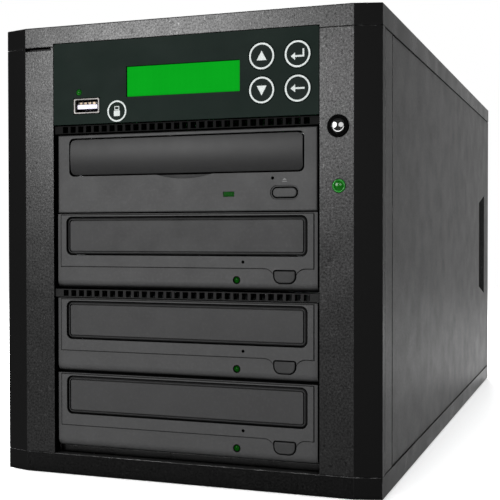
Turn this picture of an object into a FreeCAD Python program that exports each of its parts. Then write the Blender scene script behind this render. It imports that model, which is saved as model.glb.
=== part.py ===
"""Desktop disc duplicator tower: a steel case with four tray drives and a control panel.

Millimetres. +X right, +Y to the rear, +Z up. The origin is the middle of the case at the
surface that its feet stand on.
"""
import FreeCAD, Part
import math
import os
import re
import Sketcher

Vector = FreeCAD.Vector
doc = FreeCAD.newDocument("duplicator")

# Driving dimensions, one cell of the sheet each
SIZES = {
    # case
    "column_wide": 31, "case_deep": 430, "cap_tall": 10.8, "cap_wall": 2, "chamfer_wide": 13.6,
    "chamfer_deep": 3.55, "rear_round": 3, "sheet": 1, "skin": 2.2, "fit_gap": 0.3, "overrun": 1,
    "flange_tall": 10, "pin_gap": 0.06,
    # feet
    "foot_proud": 1.2, "foot_sunk": 1.5, "foot_radius": 9, "foot_inset_x": 24, "foot_inset_y": 32,
    # front bezel
    "side_deep": 4, "flank_deep": 7.8, "return_deep": 14, "bar_setback": 6, "bay_lip": 4, "head_tall": 3.4,
    "lift_slot_wide": 16, "lift_slot_tall": 1.6, "lift_slot_inset": 1.5, "lift_slot_deep": 3,
    # vent bars
    "vent_tall": 4.2, "vent_deep": 4, "vent_setback": 1, "vent_slot_wide": 3.1, "vent_slot_tall": 3.3,
    "vent_pitch": 4.7, "vent_count": 30,
    # side panels
    "panel_inset": 0.6, "panel_start": 10.4, "strip_wide": 15.6, "strip_proud": 0.2,
    "strip_groove": 2.6, "strip_groove_deep": 0.6, "rear_flange": 13, "panel_travel": 20,
    "hook_long": 6, "hook_tall": 4, "hook_rise": 3, "hook_inset": 60, "grip_wide": 35, "grip_tall": 86,
    "grip_taper": 7.5, "grip_deep": 8, "grip_from_rear": 26,
    # thumb screws
    "screw_head_long": 5, "screw_head_radius": 5, "screw_radius": 1.6, "screw_hole_radius": 1.9,
    "screw_long": 8, "screw_inset_x": 7, "screw_inset_z": 32,
    # control panel
    "panel_margin": 4.9, "panel_lap": 1.4, "window_left": 31, "window_right": 33, "window_floor": 13.3,
    "window_tall": 16, "pane_setback": 0.7, "board_setback": 12, "board_thick": 1.6,
    "post_radius": 2.4, "post_inset": 5,
    "key_radius": 7, "key_gap": 0.25, "key_travel": 0.5, "key_flange": 1, "key_flange_thick": 0.8,
    "key_column": 44.8, "key_spread": 18.9, "key_margin": 6.25, "key_space": 2.95, "stem_radius": 2,
    # USB socket and its lamp
    "usb_middle": 54.6, "usb_row": 9.55, "usb_lip_wide": 15.5, "usb_lip_tall": 8.1, "usb_lip_thick": 1,
    "usb_wide": 14.4, "usb_tall": 7.4, "usb_wall": 0.5, "usb_deep": 17, "usb_back": 2,
    "tongue_wide": 11, "tongue_thick": 1.6, "tongue_gap": 0.4, "tongue_setback": 2,
    "usb_lamp_out": 59.2, "usb_lamp_row": 16.9, "usb_lamp_radius": 1.6, "lamp_gap": 0.1,
    # power button and lamp
    "button_inset": 9.5, "button_rise": 171.5, "ring_radius": 5.25, "bore_radius": 3.9, "nut_radius": 7.2,
    "nut_thick": 2, "switch_deep": 17, "button_radius": 3.7, "button_setback": 0.4,
    "button_long": 9, "button_travel": 1.5, "dish_radius": 9, "dish_deep": 0.7,
    "lamp_inset": 9.9, "lamp_rise": 142.3, "lamp_radius": 3.3, "lamp_long": 9, "lamp_flange": 1.2,
    # discs and drives
    "disc_across": 120, "tray_rim": 4.5, "door_lap": 3.25, "bezel_frame": 5.75, "bay_slack": 1.5,
    "bezel_tall": 39.9, "first_bezel_extra": 2, "bay_gap": 0.6, "bezel_setback": 2, "bezel_thick": 6,
    "housing_inset": 0.8, "housing_lift": 0.4, "housing_trim": 0.8, "housing_tail": 24,
    "tray_thick": 8, "tray_rise": 20.5, "tray_lap": 8, "tray_clear": 5.2, "seat_front": 12,
    "seat_slack": 0.4, "seat_deep": 3, "small_seat_radius": 40.5, "small_seat_deep": 1,
    "tray_hole_radius": 19, "runner_wide": 7.5, "runner_thick": 2.7,
    "deck_rise": 13, "deck_thick": 1.4, "deck_start": 25, "deck_tail": 11,
    "boss_radius": 6, "boss_tall": 2.9, "shaft_radius": 1.5, "shaft_long": 7, "platter_radius": 14,
    "platter_thick": 1.2, "nose_radius": 7.4, "nose_tall": 1.3, "clamp_radius": 15, "clamp_tall": 7,
    "plug_wide": 30, "plug_tall": 6, "plug_long": 3, "plug_rise": 4,
    # tray doors
    "door_thick": 4, "door_floor": 18.25, "door_head": 2.05, "door_round": 2.8, "door_gap": 0.6,
    "door_bevel": 0.9, "door_rim": 1.1, "rim_groove": 0.7, "rim_groove_deep": 1.1, "first_door_floor": 20.3,
    "first_door_head": 2.7,
    "first_door_gap": 0.8, "first_door_trim": 2, "door_crown": 0.7,
    # fronts of the three lower drives
    "plateau_floor": 11.8, "plateau_side": 71.4, "plateau_proud": 0.3, "plateau_curve": 5.6,
    "plateau_reach": 5.3, "line_gap": 0.45, "line_deep": 0.7,
    "bullnose": 4.2, "hole_radius": 0.8, "hole_out": 34, "hole_rise": 14.8, "light_out": 30.4,
    "light_rise": 5.6, "light_radius": 1.6, "eject_out": 50.75, "eject_wide": 11.1,
    "eject_rise": 4.45, "eject_tall": 6, "eject_low_round": 3.4, "eject_top_round": 0.8,
    "eject_gap": 0.6, "eject_proud": 0.6, "eject_travel": 1, "eject_long": 9, "eject_flange": 0.9,
    "eject_flange_thick": 1, "stop_long": 4, "stop_tall": 10,
    # front of the top drive
    "first_edge": 0.8, "first_hole_out": 49.9, "first_hole_rise": 16.6, "first_light_out": 23.2,
    "first_light_wide": 5.9, "first_light_rise": 7.6, "first_light_tall": 2.4,
    "first_eject_out": 49.85, "first_eject_wide": 12.7, "first_eject_rise": 6.95, "first_eject_tall": 4.7,
    "first_eject_round": 2.3, "dimple_margin": 1.3, "dimple_deep": 0.5, "scoop_middle": 1.4,
    "scoop_half": 15.5, "scoop_tall": 2.2, "scoop_deep": 2.5,
    # controller board on the ledges of the bay sides
    "ledge_rise": 4, "ledge_wide": 7, "ledge_long": 12, "ledge_first": 30, "ledge_apart": 110,
    "bay_side_tail": 15.3, "main_board_long": 135, "main_board_start": 24, "chip_wide": 28,
    "chip_tall": 3.2, "chip_start": 40, "socket_wide": 17, "socket_long": 6, "socket_tall": 9,
    "socket_pitch": 24, "socket_count": 5, "can_radius": 4, "can_tall": 11, "can_apart": 14,
    # power supply
    "psu_wide": 150, "psu_head": 6, "psu_deep": 140, "psu_fan_margin": 5, "window_margin": 4,
    "inlet_out": 54, "inlet_wide": 31, "inlet_tall": 56, "inlet_flange": 2, "inlet_rise": 43,
    "socket_in_wide": 24.4, "socket_in_tall": 16.6, "socket_in_deep": 16, "socket_in_drop": 13,
    "socket_in_round": 3, "inlet_back": 3, "prong_wide": 2, "prong_tall": 4, "prong_long": 11,
    "prong_apart": 14, "prong_step": 4, "rocker_rise": 15, "rocker_wide": 19, "rocker_tall": 13,
    "rocker_deep": 9, "rocker_gap": 0.7, "rocker_proud": 1, "rocker_tilt": 9, "rocker_pin_radius": 1.2,
    "rocker_pin_long": 2, "rocker_axis_deep": 2.5, "cable_hole_wide": 24, "cable_hole_tall": 12,
    # fans
    "fan_across": 80, "fan_thick": 25, "fan_wall": 2, "fan_corner": 4, "rotor_gap": 2,
    "rotor_hub": 15, "rotor_thick": 17, "rotor_setback": 3, "blade_skin": 1.4, "blade_lean": 9,
    "blade_chord": 13, "blade_count": 7, "arm_wide": 4, "arm_thick": 2.5, "fan_boss": 13,
    "rear_fan_rise": 62, "grille_bar": 2, "grille_pitch": 7.4, "grille_core": 9,
    "rear_vent_long": 25, "rear_vent_tall": 3, "rear_vent_pitch": 8, "rear_vent_count": 5,
    "rear_vent_out": 48, "rear_vent_rise": 35,
}

# Places worked out from the driving dimensions
PLACES = {
    "tray_half": "disc_across / 2 + tray_rim",
    "door_half": "tray_half + door_lap",
    "bezel_half": "door_half + bezel_frame",
    "bay_half": "bezel_half + bay_slack",
    "case_half": "bay_half + column_wide",
    "housing_half": "bezel_half - housing_inset",
    "front": "-(case_deep + sheet + screw_head_long) / 2",
    "rear": "front + case_deep",
    "rear_inner": "rear - sheet",
    "base_top": "foot_proud + cap_tall",
    "bay_floor": "base_top + bay_lip",
    "drive_4_floor": "bay_floor",
    "drive_3_floor": "drive_4_floor + bezel_tall + bay_gap",
    "lower_vent_floor": "drive_3_floor + bezel_tall + bay_gap",
    "drive_2_floor": "lower_vent_floor + vent_tall + bay_gap",
    "drive_1_floor": "drive_2_floor + bezel_tall + bay_gap",
    "first_bezel_tall": "bezel_tall + first_bezel_extra",
    "upper_vent_floor": "drive_1_floor + first_bezel_tall + bay_gap",
    "panel_floor": "upper_vent_floor + vent_tall + bay_gap",
    "key_row": "key_margin + key_radius",
    "key_rise": "key_radius * 2 + key_space",
    "panel_top": "panel_floor + key_row + key_rise + key_radius + panel_margin",
    "cover_low": "panel_top + fit_gap",
    "cover_top": "cover_low + cap_tall",
    "panel_outer": "case_half - panel_inset",
    "panel_inner": "panel_outer - sheet",
    "chassis_half": "panel_inner - fit_gap",
    "column_low": "base_top + fit_gap",
    "column_high": "cover_low - fit_gap",
    "frame_front": "front + return_deep + fit_gap",
    "frame_back": "frame_front + sheet",
    "bay_side_half": "housing_half + fit_gap",
    "grip_rear": "rear - grip_from_rear",
    "grip_front": "grip_rear - grip_wide",
    "grip_middle": "(base_top + cover_low) / 2",
    "button_x": "bay_half + button_inset",
    "button_z": "base_top + button_rise",
    "lamp_x": "bay_half + lamp_inset",
    "lamp_z": "base_top + lamp_rise",
    "board_front": "front + board_setback",
    "board_back": "board_front + board_thick",
    "ledge_top": "upper_vent_floor + vent_tall + ledge_rise",
    "main_board_top": "ledge_top + board_thick",
    "drive_front": "front + bezel_setback",
    "drive_back": "drive_front + bezel_thick",
    "tray_front": "drive_front + door_thick",
    "door_tall": "bezel_tall - door_floor - door_head",
    "first_door_tall": "first_bezel_tall - first_door_floor - first_door_head",
    "tray_travel": "seat_front + disc_across + seat_slack * 2 + tray_clear",
    "tray_rear": "tray_front + tray_travel + tray_lap",
    "housing_tall": "bezel_tall - housing_trim",
    "housing_rear": "tray_rear + housing_tail",
    "disc_y": "tray_front + seat_front + disc_across / 2 + seat_slack",
    "fan_radius": "fan_across / 2 - fan_wall",
    "rotor_radius": "fan_radius - rotor_gap",
    "psu_tall": "fan_across + psu_head",
    "psu_fan_out": "psu_wide / 2 - psu_fan_margin - fan_across / 2",
    "psu_floor": "cover_low - sheet - fit_gap - psu_tall",
    "psu_middle": "psu_floor + psu_tall / 2",
    "inlet_z": "psu_floor + inlet_rise",
    "socket_z": "inlet_z - socket_in_drop",
    "rocker_z": "inlet_z + rocker_rise",
    "rear_fan_z": "base_top + rear_fan_rise",
    "screw_x": "panel_outer - screw_inset_x",
}

sheet = doc.addObject("Spreadsheet::Sheet", "Sizes")
for row, (alias, size) in enumerate(SIZES.items(), start=1):
    sheet.set("A%d" % row, alias)
    sheet.set("B%d" % row, str(size))
    sheet.setAlias("B%d" % row, alias)
doc.recompute()

NODES = []
ON_PLANE = 1e-4
AXIS_TURNS = {"x": ((0, 1, 0), 90), "y": ((1, 0, 0), -90), "z": ((0, 0, 1), 0)}


def full(text):
    """The expression with derived places spelled out and sizes read from the sheet."""
    def spell(match):
        word = match.group(0)
        if word in PLACES:
            return "(" + full(PLACES[word]) + ")"
        return "Sizes." + word if word in SIZES else word
    return re.sub(r"[A-Za-z_]\w*", spell, str(text))


def value(text):
    return float(sheet.evalExpression(full(text)))


def bind(thing, prop, text):
    thing.setExpression(prop, full(text))


def move(thing, x="0", y="0", z="0"):
    """Bind where a thing stands."""
    for axis, text in (("x", x), ("y", y), ("z", z)):
        bind(thing, "Placement.Base." + axis, text)
    return thing


def node(thing, label):
    """Name a finished sub-part."""
    thing.Label = label
    NODES.append(thing)
    return thing


# Primitive solids and booleans

def block(xs, ys, zs):
    """A box between three pairs of places."""
    box = doc.addObject("Part::Box", "block")
    for prop, (low, high) in (("Length", xs), ("Width", ys), ("Height", zs)):
        bind(box, prop, "(%s) - (%s)" % (high, low))
    return move(box, xs[0], ys[0], zs[0])


def rod(axis, middle, radius, low, high):
    """A cylinder along an axis; middle gives its place on the two other axes, in order."""
    cylinder = doc.addObject("Part::Cylinder", "rod")
    turn, angle = AXIS_TURNS[axis]
    cylinder.Placement = FreeCAD.Placement(Vector(), FreeCAD.Rotation(Vector(*turn), angle))
    bind(cylinder, "Radius", radius)
    bind(cylinder, "Height", "(%s) - (%s)" % (high, low))
    places = list(middle)
    places.insert("xyz".index(axis), low)
    return move(cylinder, *places)


def join(*pieces):
    fusion = doc.addObject("Part::MultiFuse", "join")
    fusion.Shapes = list(pieces)
    fusion.Refine = True
    return fusion


def group(*pieces):
    """Separate solids that share a node."""
    compound = doc.addObject("Part::Compound", "group")
    compound.Links = list(pieces)
    return compound


def without(base, *tools):
    """The base with the tools cut away."""
    cut = doc.addObject("Part::Cut", "without")
    cut.Base = base
    cut.Tool = tools[0] if len(tools) == 1 else join(*tools)
    cut.Refine = True
    return cut


# Sketched bodies

def outline(points):
    """A closed chain of points (across, up), each with an optional (radius, turn) for an arc
    to the next point: turn 1 is counter-clockwise, -1 clockwise."""
    def draw(sketch):
        count = len(points)
        spots = [Vector(value(point[0]), value(point[1]), 0) for point in points]
        ends = []
        for index, point in enumerate(points):
            start, stop = spots[index], spots[(index + 1) % count]
            if len(point) == 2:
                line = sketch.addGeometry(Part.LineSegment(start, stop), False)
                ends.append((line, 1, 2))
                continue
            radius, turn = value(point[2]), point[3]
            chord = stop - start
            rise = math.sqrt(max(radius ** 2 - chord.Length ** 2 / 4, 0))
            side = Vector(-chord.y, chord.x, 0).normalize() * rise * turn
            centre = (start + stop) / 2 + side
            angles = [math.atan2(spot.y - centre.y, spot.x - centre.x) for spot in (start, stop)]
            first, last = angles if turn > 0 else reversed(angles)
            circle = Part.Circle(centre, Vector(0, 0, 1), radius)
            arc = sketch.addGeometry(Part.ArcOfCircle(circle, first, last), False)
            held = sketch.addConstraint(Sketcher.Constraint("Radius", arc, radius))
            bind(sketch, "Constraints[%d]" % held, point[2])
            ends.append((arc, 1, 2) if turn > 0 else (arc, 2, 1))
        for index, (piece, begin, end) in enumerate(ends):
            after = ends[(index + 1) % count]
            sketch.addConstraint(Sketcher.Constraint("Coincident", piece, end, after[0], after[1]))
            for kind, spot, text in (("DistanceX", spots[index].x, points[index][0]),
                                     ("DistanceY", spots[index].y, points[index][1])):
                held = sketch.addConstraint(Sketcher.Constraint(kind, -1, 1, piece, begin, spot))
                bind(sketch, "Constraints[%d]" % held, text)
    return draw


def rounded(across, up, low_round=None, top_round=None):
    """A rectangle between two pairs of places, with its lower and upper corners rounded."""
    (left, right), (low, high) = across, up
    top_round = top_round or low_round
    if low_round is None:
        return outline([(left, low), (right, low), (right, high), (left, high)])
    lower, upper = "(%s)" % low_round, "(%s)" % top_round
    return outline([
        ("%s + %s" % (left, lower), low), ("%s - %s" % (right, lower), low, lower, 1),
        (right, "%s + %s" % (low, lower)), (right, "%s - %s" % (high, upper), upper, 1),
        ("%s - %s" % (right, upper), high), ("%s + %s" % (left, upper), high, upper, 1),
        (left, "%s - %s" % (high, upper)), (left, "%s + %s" % (low, lower), lower, 1),
    ])


def circle(across, up, radius):
    def draw(sketch):
        spot = Vector(value(across), value(up), 0)
        ring = sketch.addGeometry(Part.Circle(spot, Vector(0, 0, 1), value(radius)), False)
        for constraint, text in (
                (Sketcher.Constraint("Radius", ring, value(radius)), radius),
                (Sketcher.Constraint("DistanceX", -1, 1, ring, 3, spot.x), across),
                (Sketcher.Constraint("DistanceY", -1, 1, ring, 3, spot.y), up)):
            held = sketch.addConstraint(constraint)
            bind(sketch, "Constraints[%d]" % held, text)
    return draw


def body(label):
    return node(doc.addObject("PartDesign::Body", label), label)


def origin_piece(owner, role):
    return [piece for piece in owner.Origin.OriginFeatures if piece.Role == role][0]


def drawn(owner, plane, at, shapes):
    """A sketch on an origin plane moved to a place; the XZ plane's normal points to -Y."""
    sketch = owner.newObject("Sketcher::SketchObject", "sketch")
    sketch.AttachmentSupport = [(origin_piece(owner, plane + "_Plane"), "")]
    sketch.MapMode = "FlatFace"
    bind(sketch, "AttachmentOffset.Base.z", "-(%s)" % at if plane == "XZ" else at)
    for draw in shapes:
        draw(sketch)
    return sketch


def raised(owner, plane, low, high, *shapes):
    """A pad that fills the shapes between two places along the plane's normal."""
    pad = owner.newObject("PartDesign::Pad", "pad")
    pad.Profile = drawn(owner, plane, high if plane == "XZ" else low, shapes)
    bind(pad, "Length", "(%s) - (%s)" % (high, low))
    owner.Tip = pad
    return pad


def sunk(owner, plane, low, high, *shapes):
    """A pocket that empties the shapes between two places along the plane's normal."""
    pocket = owner.newObject("PartDesign::Pocket", "pocket")
    pocket.Profile = drawn(owner, plane, low if plane == "XZ" else high, shapes)
    bind(pocket, "Length", "(%s) - (%s)" % (high, low))
    owner.Tip = pocket
    return pocket


def row_of(owner, feature, axis, pitch, count):
    """Repeat a feature along an axis."""
    pattern = owner.newObject("PartDesign::LinearPattern", "row")
    pattern.Originals = [feature]
    pattern.Direction = (origin_piece(owner, axis + "_Axis"), [""])
    pattern.Occurrences = int(value(count))
    bind(pattern, "Length", "(%s) * (%s - 1)" % (pitch, count))
    owner.Tip = pattern
    return pattern


def edges_on(feature, **planes):
    """Names of the feature's edges that lie on every given plane, such as y='front'."""
    doc.recompute()
    found = []
    for index, edge in enumerate(feature.Shape.Edges, start=1):
        box = edge.BoundBox
        reach = {"x": (box.XMin, box.XMax), "y": (box.YMin, box.YMax), "z": (box.ZMin, box.ZMax)}
        if all(abs(end - value(text)) < ON_PLANE for axis, text in planes.items() for end in reach[axis]):
            found.append("Edge%d" % index)
    return found


def eased(owner, kind, size, **planes):
    """A fillet (Radius) or chamfer (Size) on the tip's edges that lie on the given planes."""
    base = owner.Tip
    names = edges_on(base, **planes)
    feature = owner.newObject("PartDesign::" + kind, "ease")
    feature.Base = (base, names)
    bind(feature, "Radius" if kind == "Fillet" else "Size", size)
    owner.Tip = feature
    return feature


def mirrored(side, low, high):
    """A pair of places on the right, or the same pair on the left."""
    return (low, high) if side > 0 else ("-(%s)" % high, "-(%s)" % low)


# Covers, feet and front bezel

def cap_outline():
    """The case's plan, with its two front corners cut."""
    return outline([
        ("-case_half", "front + chamfer_deep"), ("-case_half + chamfer_wide", "front"),
        ("case_half - chamfer_wide", "front"), ("case_half", "front + chamfer_deep"),
        ("case_half", "rear - rear_round", "rear_round", 1), ("case_half - rear_round", "rear"),
        ("-case_half + rear_round", "rear", "rear_round", 1), ("-case_half", "rear - rear_round"),
    ])


def cap_hollow():
    return rounded(("-case_half + cap_wall", "case_half - cap_wall"),
                   ("front + chamfer_deep + cap_wall", "rear - cap_wall"))


def make_top_cover():
    cover = body("top_cover")
    raised(cover, "XY", "cover_low", "cover_top", cap_outline())
    sunk(cover, "XY", "cover_low - overrun", "cover_top - cap_wall", cap_hollow())
    sunk(cover, "XZ", "front - overrun", "front + skin + fit_gap",
         rounded(("-bay_half", "bay_half"), ("cover_low - overrun", "cover_low + panel_lap")))
    eased(cover, "Fillet", "cap_wall / 4", z="cover_top")


def foot_middles():
    spread = "case_half - foot_inset_x"
    return [("%s(%s)" % (sign, spread), y) for sign in ("", "-")
            for y in ("front + foot_inset_y", "rear - foot_inset_y")]


def make_base_cover():
    cover = body("base_cover")
    raised(cover, "XY", "foot_proud", "base_top", cap_outline())
    sunk(cover, "XY", "foot_proud + cap_wall", "base_top + overrun", cap_hollow())
    wells = [circle(x, y, "foot_radius + fit_gap + cap_wall") for x, y in foot_middles()]
    raised(cover, "XY", "foot_proud", "foot_proud + foot_sunk + cap_wall", *wells)
    seats = [circle(x, y, "foot_radius + fit_gap") for x, y in foot_middles()]
    sunk(cover, "XY", "foot_proud - overrun", "foot_proud + foot_sunk", *seats)


def make_feet():
    pads = [rod("z", spot, "foot_radius", "0", "foot_proud + foot_sunk") for spot in foot_middles()]
    node(group(*pads), "feet")


def make_front_bezel():
    bezel = body("front_bezel")
    across = ("-bay_half - skin / 2", "bay_half + skin / 2")
    raised(bezel, "XZ", "front + bar_setback", "front + bar_setback + skin",
           rounded(across, ("column_low", "bay_floor - fit_gap")))
    raised(bezel, "XZ", "front + skin", "front + skin * 2",
           rounded(across, ("column_high - head_tall", "column_high")))
    column = [("case_half", "front + chamfer_deep"), ("case_half - chamfer_wide", "front"),
              ("bay_half", "front"), ("bay_half", "front + return_deep"),
              ("bay_half + skin", "front + return_deep"), ("bay_half + skin", "front + side_deep"),
              ("chassis_half + fit_gap", "front + side_deep"),
              ("chassis_half + fit_gap", "front + flank_deep"), ("case_half", "front + flank_deep")]
    raised(bezel, "XY", "column_low", "column_high", outline(column))
    raised(bezel, "XY", "column_low", "column_high", outline([("-(%s)" % x, y) for x, y in column]))
    sunk(bezel, "XZ", "front - overrun", "front + side_deep + overrun",
         circle("button_x", "button_z", "ring_radius + fit_gap"),
         circle("lamp_x", "lamp_z", "lamp_radius + lamp_gap"))
    right = "-bay_half - lift_slot_inset"
    across = (right + " - lift_slot_wide", right)
    sunk(bezel, "XZ", "front - overrun", "front + lift_slot_deep",
         rounded(across, ("column_high - lift_slot_tall", "column_high + overrun")))


def make_vent_bar(label, floor):
    """A slotted bar between two bays."""
    bar = body(label)
    raised(bar, "XZ", "front + vent_setback", "front + vent_setback + vent_deep",
           rounded(("-bay_half + fit_gap", "bay_half - fit_gap"), (floor, floor + " + vent_tall")))
    start = "-(vent_pitch * (vent_count - 1) + vent_slot_wide) / 2"
    rise = floor + " + (vent_tall - vent_slot_tall) / 2"
    hole = rounded((start, start + " + vent_slot_wide"), (rise, rise + " + vent_slot_tall"))
    slot = sunk(bar, "XZ", "front", "front + vent_setback + vent_deep + overrun", hole)
    row_of(bar, slot, "X", "vent_pitch", "vent_count")


# Chassis sheets and side panels

def hook_places():
    """Where the panels' hooks start, along the case."""
    return ["front + hook_inset", "rear - hook_inset - hook_long"]


def hook_rows():
    """Height spans of the lower and upper hooks."""
    return [("base_top + sheet + hook_rise", "base_top + sheet + hook_rise + hook_tall"),
            ("cover_low - sheet - hook_rise - hook_tall", "cover_low - sheet - hook_rise")]


def make_chassis_tray(label, floor, flange, hooks):
    """The base or top sheet: a flat plate with a flange along each side, slotted for hooks."""
    plate = block(("-chassis_half", "chassis_half"), ("frame_front", "rear_inner"), floor)
    solids = [plate]
    slots = []
    for side in (1, -1):
        wall = mirrored(side, "chassis_half - sheet", "chassis_half")
        solids.append(block(wall, ("frame_back + fit_gap", "rear_inner"), flange))
        reach = mirrored(side, "chassis_half - sheet - overrun", "chassis_half + overrun")
        for start in hook_places():
            length = (start + " - fit_gap * 2", start + " + hook_long + panel_travel + fit_gap * 2")
            rise = ("%s - fit_gap * 2" % hooks[0], "%s + fit_gap * 2" % hooks[1])
            slots.append(block(reach, length, rise))
    node(without(join(*solids), *slots), label)


def make_chassis_front():
    """The front frame, with side flanges that reach the bezel's columns."""
    plate = block(("-chassis_half", "chassis_half"), ("frame_front", "frame_back"),
                  ("base_top + sheet", "cover_low - sheet"))
    bay = block(("-bay_side_half", "bay_side_half"), ("frame_front - overrun", "frame_back + overrun"),
                ("bay_floor - fit_gap", "cover_low - sheet - head_tall"))
    flanges = [block(mirrored(side, "chassis_half - sheet", "chassis_half"),
                     ("front + side_deep", "frame_front"), ("base_top + sheet", "cover_low - sheet"))
               for side in (1, -1)]
    holes = [rod("y", spot, "nut_radius", "frame_front - overrun", "frame_back + overrun")
             for spot in (("button_x", "button_z"), ("lamp_x", "lamp_z"))]
    node(without(join(plate, *flanges), bay, *holes), "chassis_front")


def grille_cutter(x, z, low, high):
    """What leaves a ring grille when it is cut from a sheet: a disc less its rings and bars."""
    disc = rod("y", (x, z), "fan_radius", low, high)
    kept = [rod("y", (x, z), "grille_core", low, high)]
    for index in (1, 2, 3):
        inner = "grille_core + grille_pitch * %d" % index
        kept.append(without(rod("y", (x, z), inner + " + grille_bar", low, high),
                            rod("y", (x, z), inner, low, high)))
    half = "grille_bar * 3 / 4"
    kept.append(block(("%s - fan_radius" % x, "%s + fan_radius" % x), (low, high),
                      ("%s - %s" % (z, half), "%s + %s" % (z, half))))
    kept.append(block(("%s - %s" % (x, half), "%s + %s" % (x, half)), (low, high),
                      ("%s - fan_radius" % z, "%s + fan_radius" % z)))
    return without(disc, *kept)


def screw_spots(side):
    """Middles of the two thumb screws of a panel."""
    x = "screw_x" if side > 0 else "-screw_x"
    return [(x, "base_top + screw_inset_z"), (x, "cover_low - screw_inset_z")]


def make_chassis_rear():
    plate = block(("-chassis_half", "chassis_half"), ("rear_inner", "rear"), ("base_top", "cover_low"))
    through = ("rear_inner - overrun", "rear + overrun")
    window = block(("-psu_wide / 2 + window_margin", "psu_wide / 2 - window_margin"), through,
                   ("psu_floor + window_margin", "psu_floor + psu_tall - window_margin"))
    tools = [window, grille_cutter("0", "rear_fan_z", *through)]
    for side in (1, -1):
        tools.extend(rod("y", spot, "screw_hole_radius", *through) for spot in screw_spots(side))
        for index in range(SIZES["rear_vent_count"]):
            low = "base_top + rear_vent_rise + rear_vent_pitch * %d" % index
            span = mirrored(side, "rear_vent_out", "rear_vent_out + rear_vent_long")
            tools.append(block(span, through, (low, low + " + rear_vent_tall")))
    node(without(plate, *tools), "chassis_rear")


def make_bay_side(label, side):
    """The plate that the drives are screwed to, with feet above and below and four ledges."""
    wall = mirrored(side, "bay_side_half", "bay_side_half + sheet")
    foot = mirrored(side, "bay_side_half", "bay_side_half + flange_tall")
    length = ("frame_back", "housing_rear + bay_side_tail")
    low, high = "base_top + sheet", "cover_low - sheet"
    solids = [block(wall, length, (low, high)), block(foot, length, (low, low + " + sheet")),
              block(foot, length, (high + " - sheet", high))]
    for index in (0, 1):
        start = "front + ledge_first + ledge_apart * %d" % index
        solids.append(block(mirrored(side, "bay_side_half - ledge_wide", "bay_side_half"),
                            (start, start + " + ledge_long"), ("ledge_top - sheet", "ledge_top")))
    node(join(*solids), label)


def grip_shape(margin):
    """The grip's outline on the panel: its rear edge is the long one."""
    half_rear = "grip_middle %s (grip_tall / 2 + " + margin + ")"
    half_front = "grip_middle %s (grip_tall / 2 - grip_taper + " + margin + ")"
    return outline([("grip_front - " + margin, half_front % "-"), ("grip_rear + " + margin, half_rear % "-"),
                    ("grip_rear + " + margin, half_rear % "+"), ("grip_front - " + margin, half_front % "+")])


def make_side_panel(label, side):
    """A flat panel with a front strip set off by a groove, a pressed grip, a rear flange and four hooks."""
    panel = body(label)
    height = ("base_top + fit_gap", "cover_low - fit_gap")
    raised(panel, "YZ", *mirrored(side, "panel_inner", "panel_outer"),
           rounded(("front + panel_start", "rear + sheet"), height))
    strip_end = "front + panel_start + strip_wide"
    raised(panel, "YZ", *mirrored(side, "panel_outer", "panel_outer + strip_proud"),
           rounded(("front + panel_start", strip_end), height))
    sunk(panel, "YZ", *mirrored(side, "panel_outer - strip_groove_deep", "panel_outer + overrun"),
         rounded((strip_end, strip_end + " + strip_groove"), height))
    raised(panel, "YZ", *mirrored(side, "panel_inner - grip_deep", "panel_inner"), grip_shape("sheet"))
    sunk(panel, "YZ", *mirrored(side, "panel_inner - grip_deep + sheet", "panel_outer + overrun"),
         grip_shape("0"))
    raised(panel, "YZ", *mirrored(side, "panel_outer - rear_flange", "panel_inner"),
           rounded(("rear", "rear + sheet"), height))
    holes = [circle(x, z, "screw_hole_radius") for x, z in screw_spots(side)]
    sunk(panel, "XZ", "rear - overrun", "rear + sheet + overrun", *holes)
    for rise in hook_rows():
        posts = [rounded((start, start + " + hook_long"), rise) for start in hook_places()]
        hook_in = "chassis_half - sheet * 2 - fit_gap"
        raised(panel, "YZ", *mirrored(side, hook_in, "panel_inner"), *posts)
        tips = [rounded((start + " - hook_long", start), rise) for start in hook_places()]
        raised(panel, "YZ", *mirrored(side, hook_in, hook_in + " + sheet"), *tips)


def make_thumb_screws(label, side):
    screws = []
    for spot in screw_spots(side):
        head = rod("y", spot, "screw_head_radius", "rear + sheet", "rear + sheet + screw_head_long")
        shank = rod("y", spot, "screw_radius", "rear + sheet - screw_long", "rear + sheet")
        slot = block(("%s - screw_head_radius" % spot[0], "%s + screw_head_radius" % spot[0]),
                     ("rear + sheet + screw_head_long - sheet", "rear + sheet + screw_head_long + overrun"),
                     ("%s - sheet / 2" % spot[1], "%s + sheet / 2" % spot[1]))
        screws.append(without(join(head, shank), slot))
    node(group(*screws), label)


# Control panel, display, keys, socket, power button and lamps

KEYS = {
    "key_up": ("key_column", "panel_floor + key_row + key_rise"),
    "key_enter": ("key_column + key_spread", "panel_floor + key_row + key_rise"),
    "key_down": ("key_column", "panel_floor + key_row"),
    "key_back": ("key_column + key_spread", "panel_floor + key_row"),
}


def window_span(margin="0"):
    """The display window, grown or shrunk by a margin."""
    low = "panel_floor + window_floor"
    return (("-window_left - (%s)" % margin, "window_right + (%s)" % margin),
            ("%s - (%s)" % (low, margin), "%s + window_tall + (%s)" % (low, margin)))


def usb_span(wide, tall):
    """A rectangle round the socket's middle."""
    row = "panel_floor + usb_row"
    return (("-usb_middle - (%s) / 2" % wide, "-usb_middle + (%s) / 2" % wide),
            ("%s - (%s) / 2" % (row, tall), "%s + (%s) / 2" % (row, tall)))


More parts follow.
